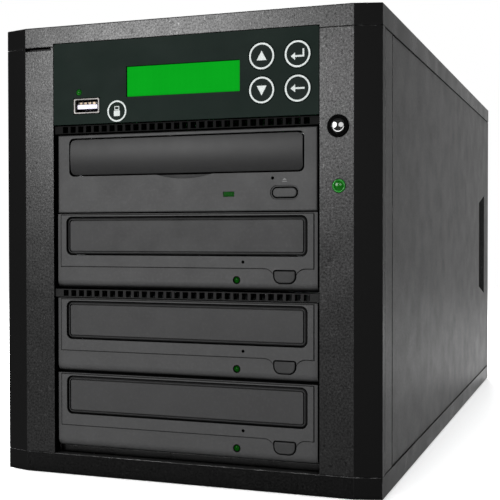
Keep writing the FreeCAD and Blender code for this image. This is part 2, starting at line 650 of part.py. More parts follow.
def make_control_panel():
    panel = body("control_panel")
    across = ("-bay_half + fit_gap", "bay_half - fit_gap")
    raised(panel, "XZ", "front", "front + skin",
           rounded(across, ("panel_floor", "panel_top + panel_lap"), "fit_gap", "skin / 2"))
    holes = [circle(x, z, "key_radius + key_gap") for x, z in KEYS.values()]
    holes.append(circle("-usb_lamp_out", "panel_floor + usb_lamp_row", "usb_lamp_radius + lamp_gap"))
    holes.append(rounded(*window_span()))
    holes.append(rounded(*usb_span("usb_lip_wide + fit_gap * 2", "usb_lip_tall + fit_gap * 2")))
    sunk(panel, "XZ", "front - overrun", "front + skin + overrun", *holes)


def make_display():
    """The lit pane, flush in its window, with a wider body behind the panel."""
    across, up = window_span("-fit_gap")
    pane = block(across, ("front + pane_setback", "front + skin + fit_gap"), up)
    across, up = window_span("skin")
    module = block(across, ("front + skin + fit_gap", "board_front"), up)
    node(join(pane, module), "display")


def make_keys():
    for label, (x, z) in KEYS.items():
        cap = rod("y", (x, z), "key_radius", "front", "front + skin + fit_gap")
        flange = rod("y", (x, z), "key_radius + key_flange", "front + skin + fit_gap",
                     "front + skin + fit_gap + key_flange_thick")
        node(join(cap, flange), label)


def make_key_board():
    """The board behind the panel, on four posts, with a switch stem behind each key."""
    span = "bay_half - skin * 2"
    height = ("panel_floor + skin", "column_high - head_tall - fit_gap")
    board = block(("-(%s)" % span, span), ("board_front", "board_back"), height)
    stem_tip = "front + skin + fit_gap * 2 + key_flange_thick + key_travel"
    solids = [board]
    solids.extend(rod("y", spot, "stem_radius", stem_tip, "board_front") for spot in KEYS.values())
    low, high = height[0] + " + post_inset", height[1] + " - post_inset"
    outer = "-(%s) + post_inset" % span
    among_keys = ("key_column + key_spread / 2", "panel_floor + key_row + key_rise / 2")
    for spot in ((outer, low), (outer, high), ("0", low), among_keys):
        solids.append(rod("y", spot, "post_radius", "front + skin", "board_front"))
    across, up = usb_span("usb_wide + fit_gap * 2", "usb_tall + fit_gap * 2")
    notch = block(across, ("board_front - overrun", "board_back + overrun"), up)
    node(without(join(*solids), notch), "key_board")


def make_usb_port():
    across, up = usb_span("usb_lip_wide", "usb_lip_tall")
    lip = block(across, ("front", "front + usb_lip_thick"), up)
    across, up = usb_span("usb_wide", "usb_tall")
    shell = block(across, ("front", "front + usb_deep"), up)
    hollow_across, hollow_up = usb_span("usb_wide - usb_wall * 2", "usb_tall - usb_wall * 2")
    hollow = block(hollow_across, ("front - overrun", "front + usb_deep - usb_back"), hollow_up)
    tongue_top = "%s - tongue_gap" % hollow_up[1]
    tongue = block(usb_span("tongue_wide", "usb_tall")[0],
                   ("front + tongue_setback", "front + usb_deep - usb_back + usb_wall"),
                   (tongue_top + " - tongue_thick", tongue_top))
    node(join(without(join(lip, shell), hollow), tongue), "usb_port")


def make_front_lamps():
    """The power lamp and the socket's lamp: domed pins with a shoulder behind the front."""
    lens = join(rod("y", ("lamp_x", "lamp_z"), "lamp_radius", "front", "front + lamp_long"),
                rod("y", ("lamp_x", "lamp_z"), "lamp_radius + lamp_flange", "front + side_deep",
                    "front + side_deep + lamp_flange"))
    small = rod("y", ("-usb_lamp_out", "panel_floor + usb_lamp_row"), "usb_lamp_radius",
                "front", "board_front")
    node(group(lens, small), "front_lamps")


def make_power_switch_ring():
    """The push switch's barrel: flush ring, nut behind the column and closed back."""
    spot = ("button_x", "button_z")
    barrel = rod("y", spot, "ring_radius", "front", "front + switch_deep")
    nut = rod("y", spot, "nut_radius", "front + side_deep", "front + side_deep + nut_thick")
    bore_end = "front + button_setback + button_long + button_travel + fit_gap"
    bore = rod("y", spot, "bore_radius", "front - overrun", bore_end)
    node(without(join(barrel, nut), bore), "power_button_ring")


def make_power_button():
    """A round button with a dished face."""
    face = "front + button_setback"
    stem = rod("y", ("button_x", "button_z"), "button_radius", face, face + " + button_long")
    ball = doc.addObject("Part::Sphere", "dish")
    bind(ball, "Radius", "dish_radius")
    move(ball, "button_x", face + " + dish_deep - dish_radius", "button_z")
    node(without(stem, ball), "power_button")


# Drives, each built from its bay's floor

DRIVES = {number: "drive_%d_floor" % number for number in (1, 2, 3, 4)}


def door_span(number, margin="0"):
    """The tray door's outline in a bay, grown by a margin."""
    floor = DRIVES[number]
    half, low, tall = "door_half", floor + " + door_floor", "door_tall"
    if number == 1:
        half, low, tall = "door_half - first_door_trim", floor + " + first_door_floor", "first_door_tall"
    return (("-(%s) - (%s)" % (half, margin), "%s + (%s)" % (half, margin)),
            ("%s - (%s)" % (low, margin), "%s + %s + (%s)" % (low, tall, margin)))


def eject_shape(number, margin="0"):
    """The eject button's outline, grown by a margin: an oval on the top drive, else a cup shape."""
    floor = DRIVES[number]
    if number == 1:
        left, wide, rise, tall = "first_eject_out", "first_eject_wide", "first_eject_rise", "first_eject_tall"
        rounds = ("first_eject_round + (%s)" % margin,) * 2
    else:
        left, wide, rise, tall = "eject_out", "eject_wide", "eject_rise", "eject_tall"
        rounds = ("eject_low_round + (%s)" % margin, "eject_top_round + (%s)" % margin)
    low = "%s + %s" % (floor, rise)
    return rounded(("%s - (%s)" % (left, margin), "%s + %s + (%s)" % (left, wide, margin)),
                   ("%s - (%s)" % (low, margin), "%s + %s + (%s)" % (low, tall, margin)), *rounds)


def light_shape(number, margin="0"):
    floor = DRIVES[number]
    if number == 1:
        left, low = "first_light_out", floor + " + first_light_rise"
        return rounded(("%s - (%s)" % (left, margin), "%s + first_light_wide + (%s)" % (left, margin)),
                       ("%s - (%s)" % (low, margin), "%s + first_light_tall + (%s)" % (low, margin)))
    return circle("light_out", floor + " + light_rise", "light_radius + (%s)" % margin)


def plateau_shape(floor, margin="0"):
    """The raised area round the tray door, which dips on both sides of the eject button,
    grown by a margin."""
    line = "%s + plateau_floor - %s" % (floor, margin)
    dip = "%s + eject_rise + eject_tall / 2 - %s" % (floor, margin)
    left, right = "eject_out", "eject_out + eject_wide"
    edge = "plateau_side + " + margin
    top = "%s + bezel_tall - first_edge + %s" % (floor, margin)
    return outline([
        ("-(%s)" % edge, line), (left + " - plateau_reach", line, "plateau_curve", -1),
        (left, dip), (right, dip, "plateau_curve", -1), (right + " + plateau_reach", line),
        (edge, line), (edge, top), ("-(%s)" % edge, top),
    ])


def make_drive_bezel(number):
    floor = DRIVES[number]
    tall = "first_bezel_tall" if number == 1 else "bezel_tall"
    bezel = body("drive_%d_bezel" % number)
    raised(bezel, "XZ", "drive_front", "drive_back",
           rounded(("-bezel_half", "bezel_half"), (floor, "%s + %s" % (floor, tall))))
    through = ("drive_front - overrun", "drive_back + overrun")
    if number == 1:
        eased(bezel, "Fillet", "first_edge", y="drive_front")
        sunk(bezel, "XZ", *through, rounded(*door_span(1, "first_door_gap"), "door_round"))
        sunk(bezel, "XZ", "drive_front - overrun", "drive_front + dimple_deep",
             eject_shape(1, "dimple_margin"))
        low = floor + " + first_door_floor - first_door_gap"
        sweep = "(scoop_half ^ 2 + scoop_tall ^ 2) / (scoop_tall * 2)"
        scoop = [("scoop_middle + scoop_half", low), ("scoop_middle - scoop_half", low, sweep, 1)]
        sunk(bezel, "XZ", "drive_front - overrun", "drive_front + scoop_deep", outline(scoop))
        hole = circle("first_hole_out", floor + " + first_hole_rise", "hole_radius")
    else:
        eased(bezel, "Fillet", "bullnose", y="drive_front", z=floor)
        sunk(bezel, "XZ", "drive_front - overrun", "drive_front + line_deep",
             plateau_shape(floor, "line_gap"))
        raised(bezel, "XZ", "drive_front - plateau_proud", "drive_front + line_deep * 2",
               plateau_shape(floor))
        sunk(bezel, "XZ", *through, rounded(*door_span(number, "door_gap"), "door_round + door_gap"))
        hole = circle("hole_out", floor + " + hole_rise", "hole_radius")
    sunk(bezel, "XZ", *through, eject_shape(number, "eject_gap"), light_shape(number, "lamp_gap"), hole)


def make_tray_door(number):
    """The tray's front: a bevelled rim and a groove round its face, or on the top drive a crown."""
    door = body("drive_%d_tray_door" % number)
    if number > 1:
        raised(door, "XZ", "drive_front", "tray_front", rounded(*door_span(number), "door_round"))
        eased(door, "Chamfer", "door_bevel", y="drive_front")
        inner = "door_rim + rim_groove"
        sunk(door, "XZ", "drive_front - overrun", "drive_front + rim_groove_deep",
             rounded(*door_span(number, "-door_rim"), "door_round - door_rim"),
             rounded(*door_span(number, "-(%s)" % inner), "door_round - door_rim - rim_groove"))
        return
    across, (low, high) = door_span(number)
    crest = "drive_front - door_crown"
    raised(door, "XZ", crest, "tray_front", rounded(across, (low, high), "door_round"))
    radius = "((first_door_tall / 2) ^ 2 + door_crown ^ 2) / (door_crown * 2)"
    ahead = crest + " - overrun"
    spare = outline([("drive_front", low, radius, -1), ("drive_front", high), (ahead, high), (ahead, low)])
    sunk(door, "YZ", "-door_half", "door_half", spare)


def make_tray(number):
    floor = DRIVES[number]
    low = floor + " + tray_rise"
    top = low + " + tray_thick"
    tray = body("drive_%d_tray" % number)
    raised(tray, "XY", low, top,
           rounded(("-tray_half", "tray_half"), ("tray_front", "tray_rear"), "door_round"))
    sunk(tray, "XY", top + " - seat_deep", top + " + overrun",
         circle("0", "disc_y", "disc_across / 2 + seat_slack"))
    sunk(tray, "XY", top + " - seat_deep - small_seat_deep", top + " + overrun",
         circle("0", "disc_y", "small_seat_radius"))
    hole = rounded(("-tray_hole_radius", "tray_hole_radius"),
                   ("disc_y - tray_hole_radius", "disc_y + small_seat_radius"),
                   "tray_hole_radius - fit_gap", "door_round")
    sunk(tray, "XY", low + " - overrun", top + " + overrun", hole)


def make_housing(number):
    """The drive's steel box, open in front, with runners, deck, motor boss and clamp inside."""
    low = DRIVES[number] + " + housing_lift"
    floor = DRIVES[number]
    high = low + " + housing_tall"
    length = ("drive_back", "housing_rear")
    box = block(("-housing_half", "housing_half"), length, (low, high))
    hollow = block(("-housing_half + sheet", "housing_half - sheet"),
                   ("drive_back - overrun", "housing_rear - sheet"), (low + " + sheet", high + " - sheet"))
    wall = "housing_half - sheet / 2"
    deck_low = floor + " + deck_rise"
    deck_top = deck_low + " + deck_thick"
    deck = ("drive_back + deck_start", "tray_rear + deck_tail")
    inside = [block(("-(%s)" % wall, wall), deck, (deck_low, deck_top)),
              rod("z", ("0", "disc_y"), "boss_radius", deck_low, deck_top + " + boss_tall"),
              rod("z", ("0", "disc_y"), "clamp_radius", high + " - clamp_tall", high + " - sheet / 2")]
    runner_top = floor + " + tray_rise - fit_gap"
    for side in (1, -1):
        inside.append(block(mirrored(side, "tray_half - runner_wide / 2", wall),
                            ("drive_back", "tray_rear"),
                            (runner_top + " - runner_thick", runner_top)))
    eject_back = "drive_front + eject_long + eject_travel + fit_gap"
    inside.append(block(("eject_out", "eject_out + eject_wide"), (eject_back, eject_back + " + stop_long"),
                        (low + " + sheet / 2", low + " + stop_tall")))
    inside.append(block(("plug_wide / 2", "plug_wide * 3 / 2"),
                        ("housing_rear - sheet / 2", "housing_rear + plug_long"),
                        (low + " + plug_rise", low + " + plug_rise + plug_tall")))
    bore = rod("z", ("0", "disc_y"), "shaft_radius + pin_gap", deck_low + " - overrun",
               deck_top + " + boss_tall + overrun")
    node(without(join(without(box, hollow), *inside), bore), "drive_%d_housing" % number)


def make_spindle(number):
    """The disc hub, parked below the tray, on its shaft in the deck's boss."""
    seat = DRIVES[number] + " + deck_rise + deck_thick + boss_tall + fit_gap"
    platter_top = seat + " + platter_thick"
    spot = ("0", "disc_y")
    node(join(rod("z", spot, "shaft_radius", seat + " - shaft_long", seat),
              rod("z", spot, "platter_radius", seat, platter_top),
              rod("z", spot, "nose_radius", platter_top, platter_top + " + nose_tall")),
         "drive_%d_spindle" % number)


def make_eject_button(number):
    """A button through the bezel, kept in by a shoulder behind it."""
    button = body("drive_%d_eject_button" % number)
    face = "drive_front - eject_proud" if number > 1 else "drive_front"
    raised(button, "XZ", face, "drive_front + eject_long", eject_shape(number))
    shoulder = "drive_back + fit_gap"
    raised(button, "XZ", shoulder, shoulder + " + eject_flange_thick", eject_shape(number, "eject_flange"))
    eased(button, "Fillet", "eject_gap", y=face)


def make_drive_lights():
    """The four drives' light pins."""
    pins = []
    for number in DRIVES:
        pin = doc.addObject("PartDesign::Body", "light_%d" % number)
        raised(pin, "XZ", "drive_front", "drive_back + stop_long", light_shape(number))
        pins.append(pin)
    node(group(*pins), "drive_lights")


# Boards, power supply and fans

def make_controller_board():
    """The main board on the ledges, with a chip, disc sockets and capacitors."""
    start = "front + main_board_start"
    low, top = "ledge_top", "main_board_top"
    solids = [block(("-bay_side_half + fit_gap", "bay_side_half - fit_gap"),
                    (start, start + " + main_board_long"), (low, top))]
    chip = start + " + chip_start"
    solids.append(block(("-chip_wide / 2", "chip_wide / 2"), (chip, chip + " + chip_wide"),
                        (top, top + " + chip_tall")))
    back = start + " + main_board_long"
    for index in range(SIZES["socket_count"]):
        x = "socket_pitch * (%d - (socket_count - 1) / 2)" % index
        solids.append(block(("%s - socket_wide / 2" % x, "%s + socket_wide / 2" % x),
                            (back + " - socket_long", back), (top, top + " + socket_tall")))
        spot = (x, chip + " + chip_wide + can_apart")
        solids.append(rod("z", spot, "can_radius", top, top + " + can_tall"))
    node(join(*solids), "controller_board")


def fan_boss(x, z, back):
    """The stator arms and boss at a fan's inner face; back is that face's place."""
    front_face = back + " + arm_thick"
    boss = rod("y", (x, z), "fan_boss", back, front_face)
    reach = "fan_radius + arm_wide / 2"
    arms = [block(("%s - (%s)" % (x, reach), "%s + (%s)" % (x, reach)), (back, front_face),
                  ("%s - arm_wide / 2" % z, "%s + arm_wide / 2" % z)),
            block(("%s - arm_wide / 2" % x, "%s + arm_wide / 2" % x), (back, front_face),
                  ("%s - (%s)" % (z, reach), "%s + (%s)" % (z, reach)))]
    return [boss] + arms


def make_fan_frame(label, x, z, outer):
    """A square fan body whose outer face is at a place, with its air hole, arms and bearing."""
    inner = outer + " - fan_thick"
    half = "fan_across / 2"
    frame = doc.addObject("PartDesign::Body", label + "_ring")
    across = ("%s - %s" % (x, half), "%s + %s" % (x, half))
    up = ("%s - %s" % (z, half), "%s + %s" % (z, half))
    raised(frame, "XZ", inner, outer, rounded(across, up, "fan_corner"))
    sunk(frame, "XZ", inner + " - overrun", outer + " + overrun", circle(x, z, "fan_radius"))
    bearing = rod("y", (x, z), "shaft_radius + pin_gap", inner + " - overrun", inner + " + fan_thick / 2")
    node(without(join(frame, *fan_boss(x, z, inner)), bearing), label)


def make_fan_rotor(label, x, z, outer):
    """Hub, shaft and slanted blades, drawn about the body's own axis and then moved into place."""
    rotor = body(label)
    raised(rotor, "XZ", "0", "rotor_thick", circle("0", "0", "rotor_hub"))
    shaft_end = "rotor_thick + rotor_setback + fit_gap - fan_thick"
    raised(rotor, "XZ", shaft_end, "0", circle("0", "0", "shaft_radius"))
    foot, tip = "(rotor_thick - blade_chord) / 2", "(rotor_thick + blade_chord) / 2"
    section = outline([(foot, "-blade_lean / 2"), ("%s + blade_skin" % foot, "-blade_lean / 2"),
                       (tip, "blade_lean / 2"), ("%s - blade_skin" % tip, "blade_lean / 2")])
    blade = raised(rotor, "YZ", "rotor_hub - blade_skin", "rotor_radius - blade_skin", section)
    ring = rotor.newObject("PartDesign::PolarPattern", "blades")
    ring.Originals = [blade]
    ring.Axis = (origin_piece(rotor, "Y_Axis"), [""])
    ring.Occurrences = SIZES["blade_count"]
    rotor.Tip = ring
    move(rotor, x, outer + " - rotor_setback - rotor_thick", z)


def make_psu_case():
    """The supply's steel box: ring grille, inlet window and a cable hole."""
    length = ("rear_inner - psu_deep", "rear_inner")
    height = ("psu_floor", "psu_floor + psu_tall")
    box = block(("-psu_wide / 2", "psu_wide / 2"), length, height)
    hollow = block(("-psu_wide / 2 + sheet", "psu_wide / 2 - sheet"),
                   (length[0] + " + sheet", length[1] + " - sheet"),
                   (height[0] + " + sheet", height[1] + " - sheet"))
    face = ("rear_inner - sheet - overrun", "rear_inner + overrun")
    grille = grille_cutter("-psu_fan_out", "psu_middle", *face)
    inlet = block(("inlet_out - inlet_wide / 2 + inlet_flange", "inlet_out + inlet_wide / 2 - inlet_flange"),
                  face,
                  ("inlet_z - inlet_tall / 2 + inlet_flange", "inlet_z + inlet_tall / 2 - inlet_flange"))
    cables = block(("-cable_hole_wide / 2", "cable_hole_wide / 2"),
                   (length[0] + " - overrun", length[0] + " + sheet + overrun"),
                   ("psu_middle - cable_hole_tall / 2", "psu_middle + cable_hole_tall / 2"))
    node(without(box, hollow, grille, inlet, cables), "psu_case")


def rocker_box(margin="0"):
    """The rocker's front outline, grown by a margin."""
    return (("inlet_out - rocker_wide / 2 - (%s)" % margin, "inlet_out + rocker_wide / 2 + (%s)" % margin),
            ("rocker_z - rocker_tall / 2 - (%s)" % margin, "rocker_z + rocker_tall / 2 + (%s)" % margin))


def make_power_inlet():
    """One plastic module: flange, mains socket with its three prongs, and the rocker's well."""
    module = doc.addObject("PartDesign::Body", "inlet_body")
    across = ("inlet_out - inlet_wide / 2", "inlet_out + inlet_wide / 2")
    up = ("inlet_z - inlet_tall / 2", "inlet_z + inlet_tall / 2")
    raised(module, "XZ", "rear_inner", "rear_inner + inlet_flange", rounded(across, up, "inlet_flange"))
    shrink = "inlet_flange + fit_gap"
    inner = (("%s + %s" % (across[0], shrink), "%s - (%s)" % (across[1], shrink)),
             ("%s + %s" % (up[0], shrink), "%s - (%s)" % (up[1], shrink)))
    depth = "rear_inner + inlet_flange - socket_in_deep - inlet_back"
    raised(module, "XZ", depth, "rear_inner", rounded(*inner))
    half_wide, half_tall = "socket_in_wide / 2", "socket_in_tall / 2"
    low, high = "socket_z - " + half_tall, "socket_z + " + half_tall
    left, right = "inlet_out - " + half_wide, "inlet_out + " + half_wide
    cavity = outline([(left, low), (right, low), (right, high + " - socket_in_round"),
                      (right + " - socket_in_round", high), (left + " + socket_in_round", high),
                      (left, high + " - socket_in_round")])
    face = "rear_inner + inlet_flange"
    sunk(module, "XZ", face + " - socket_in_deep", face + " + overrun", cavity)
    sunk(module, "XZ", face + " - rocker_deep", face + " + overrun", rounded(*rocker_box("rocker_gap")))
    floor = face + " - socket_in_deep - inlet_back / 2"
    prongs = []
    for step, rise in ((-1, "-prong_step / 2"), (0, "prong_step / 2"), (1, "-prong_step / 2")):
        x, z = "inlet_out + prong_apart / 2 * (%d)" % step, "socket_z + (%s)" % rise
        prongs.append(block(("%s - prong_wide / 2" % x, "%s + prong_wide / 2" % x),
                            (floor, floor + " + prong_long"),
                            ("%s - prong_tall / 2" % z, "%s + prong_tall / 2" % z)))
    axis_y = "rear_inner + inlet_flange - rocker_axis_deep"
    reach = "rocker_wide / 2 + rocker_gap + rocker_pin_long"
    bearing = rod("x", (axis_y, "rocker_z"), "rocker_pin_radius + pin_gap", "inlet_out - (%s)" % reach,
                  "inlet_out + (%s)" % reach)
    node(without(join(module, *prongs), bearing), "power_inlet")


def make_power_switch():
    """The rocker on its pin, drawn about its pivot, pressed to one side and moved into place."""
    rocker = doc.addObject("PartDesign::Body", "rocker_body")
    wing = "rocker_tall / 2"
    tip = "rocker_axis_deep + rocker_proud"
    section = outline([("0", "-" + wing), (tip, "-" + wing), ("rocker_axis_deep", "0"),
                       (tip, wing), ("0", wing), ("-rocker_axis_deep", "0")])
    raised(rocker, "YZ", "-rocker_wide / 2", "rocker_wide / 2", section)
    reach = "rocker_wide / 2 + rocker_gap + rocker_pin_long - fit_gap"
    pin = rod("x", ("0", "0"), "rocker_pin_radius", "-(%s)" % reach, reach)
    switch = node(join(rocker, pin), "power_switch")
    switch.Placement = FreeCAD.Placement(Vector(), FreeCAD.Rotation(Vector(1, 0, 0), value("rocker_tilt")))
    move(switch, "inlet_out", "rear_inner + inlet_flange - rocker_axis_deep", "rocker_z")


# Build the sub-parts
make_top_cover()
make_base_cover()
make_feet()
make_front_bezel()
make_vent_bar("lower_vent_bar", "lower_vent_floor")
make_vent_bar("upper_vent_bar", "upper_vent_floor")
BASE_HOOKS, TOP_HOOKS = hook_rows()
make_chassis_tray("chassis_base", ("base_top", "base_top + sheet"),
                  ("base_top + sheet / 2", "base_top + sheet + flange_tall"), BASE_HOOKS)
make_chassis_tray("chassis_top", ("cover_low - sheet", "cover_low"),
                  ("cover_low - sheet - flange_tall", "cover_low - sheet / 2"), TOP_HOOKS)
make_chassis_front()
make_chassis_rear()
for SIDE_NAME, SIDE in (("right", 1), ("left", -1)):
    make_bay_side("bay_side_" + SIDE_NAME, SIDE)
    make_side_panel("side_panel_" + SIDE_NAME, SIDE)
    make_thumb_screws("thumb_screws_" + SIDE_NAME, SIDE)
make_control_panel()
make_display()
make_keys()
make_key_board()
make_usb_port()
make_front_lamps()
make_power_switch_ring()
make_power_button()
for NUMBER in DRIVES:
    make_housing(NUMBER)
    make_drive_bezel(NUMBER)
    make_tray(NUMBER)
    make_tray_door(NUMBER)
    make_eject_button(NUMBER)
    make_spindle(NUMBER)
make_drive_lights()
make_controller_board()
make_psu_case()
make_power_inlet()
make_power_switch()
make_fan_frame("psu_fan_frame", "-psu_fan_out", "psu_middle", "rear_inner - sheet")
make_fan_rotor("psu_fan_rotor", "-psu_fan_out", "psu_middle", "rear_inner - sheet")
make_fan_frame("rear_fan_frame", "0", "rear_fan_z", "rear_inner")
make_fan_rotor("rear_fan_rotor", "0", "rear_fan_z", "rear_inner")
doc.recompute()

# Refuse a model with a failed feature or an empty or broken shape
for thing in doc.Objects:
    if {"Invalid", "Error"} & set(thing.State):
        raise RuntimeError("failed: %s %s %s" % (thing.Name, thing.Label, thing.State))
for thing in NODES:
    if thing.Shape.isNull() or not thing.Shape.isValid() or not thing.Shape.Solids:
        raise RuntimeError("no valid solid: " + thing.Label)

os.makedirs("parts", exist_ok=True)
for thing in NODES:
    thing.Shape.exportStep("parts/%s.step" % thing.Label)
print(len(NODES), "sub-parts written")
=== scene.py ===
"""Looks of a desktop disc duplicator tower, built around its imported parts.

Metres, in the part's own frame: +X right, +Y to the rear, +Z up, the front faces -Y.
"""
import math
import bmesh
import bpy
from mathutils import Matrix, Vector


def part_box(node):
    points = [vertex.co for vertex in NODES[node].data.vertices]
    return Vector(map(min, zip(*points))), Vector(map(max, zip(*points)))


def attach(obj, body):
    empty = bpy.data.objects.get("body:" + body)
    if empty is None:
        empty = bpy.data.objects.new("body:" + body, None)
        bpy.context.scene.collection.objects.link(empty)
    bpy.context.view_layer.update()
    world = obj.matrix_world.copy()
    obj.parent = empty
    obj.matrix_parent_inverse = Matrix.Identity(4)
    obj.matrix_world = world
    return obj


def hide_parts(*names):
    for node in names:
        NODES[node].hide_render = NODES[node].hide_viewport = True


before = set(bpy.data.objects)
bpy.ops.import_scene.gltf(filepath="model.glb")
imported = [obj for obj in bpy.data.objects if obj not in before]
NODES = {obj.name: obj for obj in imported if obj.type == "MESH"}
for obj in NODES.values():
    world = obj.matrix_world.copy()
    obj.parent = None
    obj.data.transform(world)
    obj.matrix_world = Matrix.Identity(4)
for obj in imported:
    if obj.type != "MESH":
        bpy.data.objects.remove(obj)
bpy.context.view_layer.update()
MM = 0.001
AHEAD = (0, -1, 0)
DRIVES = (1, 2, 3, 4)
KEY_BODIES = {"key_up": "key_up_cap", "key_enter": "key_enter_cap",
              "key_down": "key_down_cap", "key_back": "key_back_cap"}

# Places on the object, from the frame
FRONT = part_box("control_panel")[0].y
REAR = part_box("chassis_rear")[1].y
DISPLAY_RIM = 2.5 * MM
WINDOW_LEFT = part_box("display")[0].x + DISPLAY_RIM
WINDOW_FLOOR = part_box("display")[0].z + DISPLAY_RIM


def middle(node):
    low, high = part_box(node)
    return (low + high) / 2


def size(node):
    low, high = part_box(node)
    return high - low


# Node graph helpers

def new_material(name):
    made = bpy.data.materials.new(name)
    made.use_nodes = True
    return made.node_tree, made.node_tree.nodes["Principled BSDF"], made


def add(tree, kind, inputs=None, **settings):
    """A node with its settings; inputs maps a socket's name or number to a value or a socket."""
    node = tree.nodes.new(kind)
    for key, setting in settings.items():
        setattr(node, key, setting)
    for key, given in (inputs or {}).items():
        if isinstance(given, bpy.types.NodeSocket):
            tree.links.new(given, node.inputs[key])
        else:
            node.inputs[key].default_value = given
    return node


def plug(tree, shader, **sockets):
    """Values and links for the shader; an underscore in a name stands for a space."""
    for key, given in sockets.items():
        socket = shader.inputs[key.replace("_", " ")]
        if isinstance(given, bpy.types.NodeSocket):
            tree.links.new(given, socket)
        else:
            socket.default_value = given


def math_node(tree, operation, first, second=0.0, clamp=False):
    return add(tree, "ShaderNodeMath", {0: first, 1: second}, operation=operation,
               use_clamp=clamp).outputs[0]


def noise(tree, scale, detail=2.0, roughness=0.5, stretch=(1, 1, 1)):
    """Noise in the part's own coordinates; scale counts features in a metre."""
    place = add(tree, "ShaderNodeTexCoord").outputs["Object"]
    spread = add(tree, "ShaderNodeMapping", {"Vector": place, "Scale": stretch}).outputs[0]
    return add(tree, "ShaderNodeTexNoise",
               {"Vector": spread, "Scale": scale, "Detail": detail, "Roughness": roughness}).outputs[0]


def ramp(tree, factor, low, high, from_low=0.0, from_high=1.0):
    """A value remapped and clamped."""
    return add(tree, "ShaderNodeMapRange",
               {0: factor, 1: from_low, 2: from_high, 3: low, 4: high}).outputs[0]


def grey(level):
    return (level, level, level)


def times(colour, factor):
    return [part * factor for part in colour]


def mixed(tree, factor, first, second):
    """Two colours mixed by a factor."""
    node = add(tree, "ShaderNodeMix", {0: factor}, data_type="RGBA")
    for index, given in ((6, first), (7, second)):
        if isinstance(given, bpy.types.NodeSocket):
            tree.links.new(given, node.inputs[index])
        else:
            node.inputs[index].default_value = (*given, 1)
    return node.outputs[2]


def bump(tree, height, distance, strength=1.0, normal=None):
    inputs = {"Height": height, "Distance": distance, "Strength": strength}
    if normal is not None:
        inputs["Normal"] = normal
    return add(tree, "ShaderNodeBump", inputs).outputs[0]


def soft_edges(tree, radius):
    """The rounded normal of edges, and how near an edge is, from 0 to 1."""
    rounded = add(tree, "ShaderNodeBevel", {"Radius": radius}, samples=4).outputs[0]
    flat = add(tree, "ShaderNodeNewGeometry").outputs["Normal"]
    likeness = add(tree, "ShaderNodeVectorMath", {0: rounded, 1: flat},
                   operation="DOT_PRODUCT").outputs["Value"]
    return rounded, ramp(tree, likeness, 1.0, 0.0, 0.75, 0.995)


def painted_gap_shade(tree, reach):
    """How open a spot is, from 0 in a narrow gap to 1 on a free face: the mask for shade painted into gaps
    and corners.
    """
    open_share = add(tree, "ShaderNodeAmbientOcclusion", {"Distance": reach}, samples=6).outputs["AO"]
    return ramp(tree, open_share, 0.0, 1.0, 0.35, 0.95)


def facing(tree):
    """The flat normal's parts across, along and up, in the part's own frame."""
    flat = add(tree, "ShaderNodeNewGeometry").outputs["True Normal"]
    normal = add(tree, "ShaderNodeVectorTransform", {0: flat}, vector_type="NORMAL",
                 convert_from="WORLD", convert_to="OBJECT").outputs[0]
    return add(tree, "ShaderNodeSeparateXYZ", {0: normal}).outputs


def on_corner_strips(tree):
    """1 on the cut front corners, whose faces lean a little to the side, and 0 elsewhere."""
    across, along, _ = facing(tree)
    lean = math_node(tree, "ABSOLUTE", across)
    sideways = math_node(tree, "COMPARE", lean, CORNER_LEAN)
    sideways.node.inputs[2].default_value = LEAN_SLACK
    ahead = math_node(tree, "LESS_THAN", along, -0.9)
    return math_node(tree, "MULTIPLY", sideways, ahead)


# Materials

# The cut front corners: how far their faces lean to the side, how dark they are painted as shade, and how
# rough they are
CORNER_LEAN, LEAN_SLACK = 0.2525, 0.05
STRIP_PAINTED_SHADE, STRIP_ROUGHNESS = 0.0035, 0.5
# Painted faces that point up are lighter and rougher, so that they mirror no lamp
LEVEL_LIFT, LEVEL_ROUGHNESS = 2.4, 0.8


def pebbled_shade(tree, tone, cloud):
    """The paint's colour: pebbles, clouds, bright specks and dark pits; and the pebbles' height."""
    pebbles = noise(tree, 1000, 2, 0.55)
    shade = mixed(tree, ramp(tree, pebbles, 0, 1, 0.35, 0.65), grey(tone * 0.55), grey(tone * 1.32))
    clouds = ramp(tree, noise(tree, 14, 3, 0.6), 0, 0.35, 0.35, 0.7)
    shade = mixed(tree, clouds, shade, grey(tone * cloud))
    specks = ramp(tree, noise(tree, 760, 1, 0.5), 0, 1, 0.66, 0.74)
    shade = mixed(tree, math_node(tree, "MULTIPLY", specks, 0.3), shade, grey(tone * 3))
    pits = ramp(tree, noise(tree, 640, 1, 0.5, (1, 1.1, 1)), 1, 0, 0.26, 0.34)
    shade = mixed(tree, math_node(tree, "MULTIPLY", pits, 0.6), shade, grey(tone * 0.3))
    return shade, pebbles


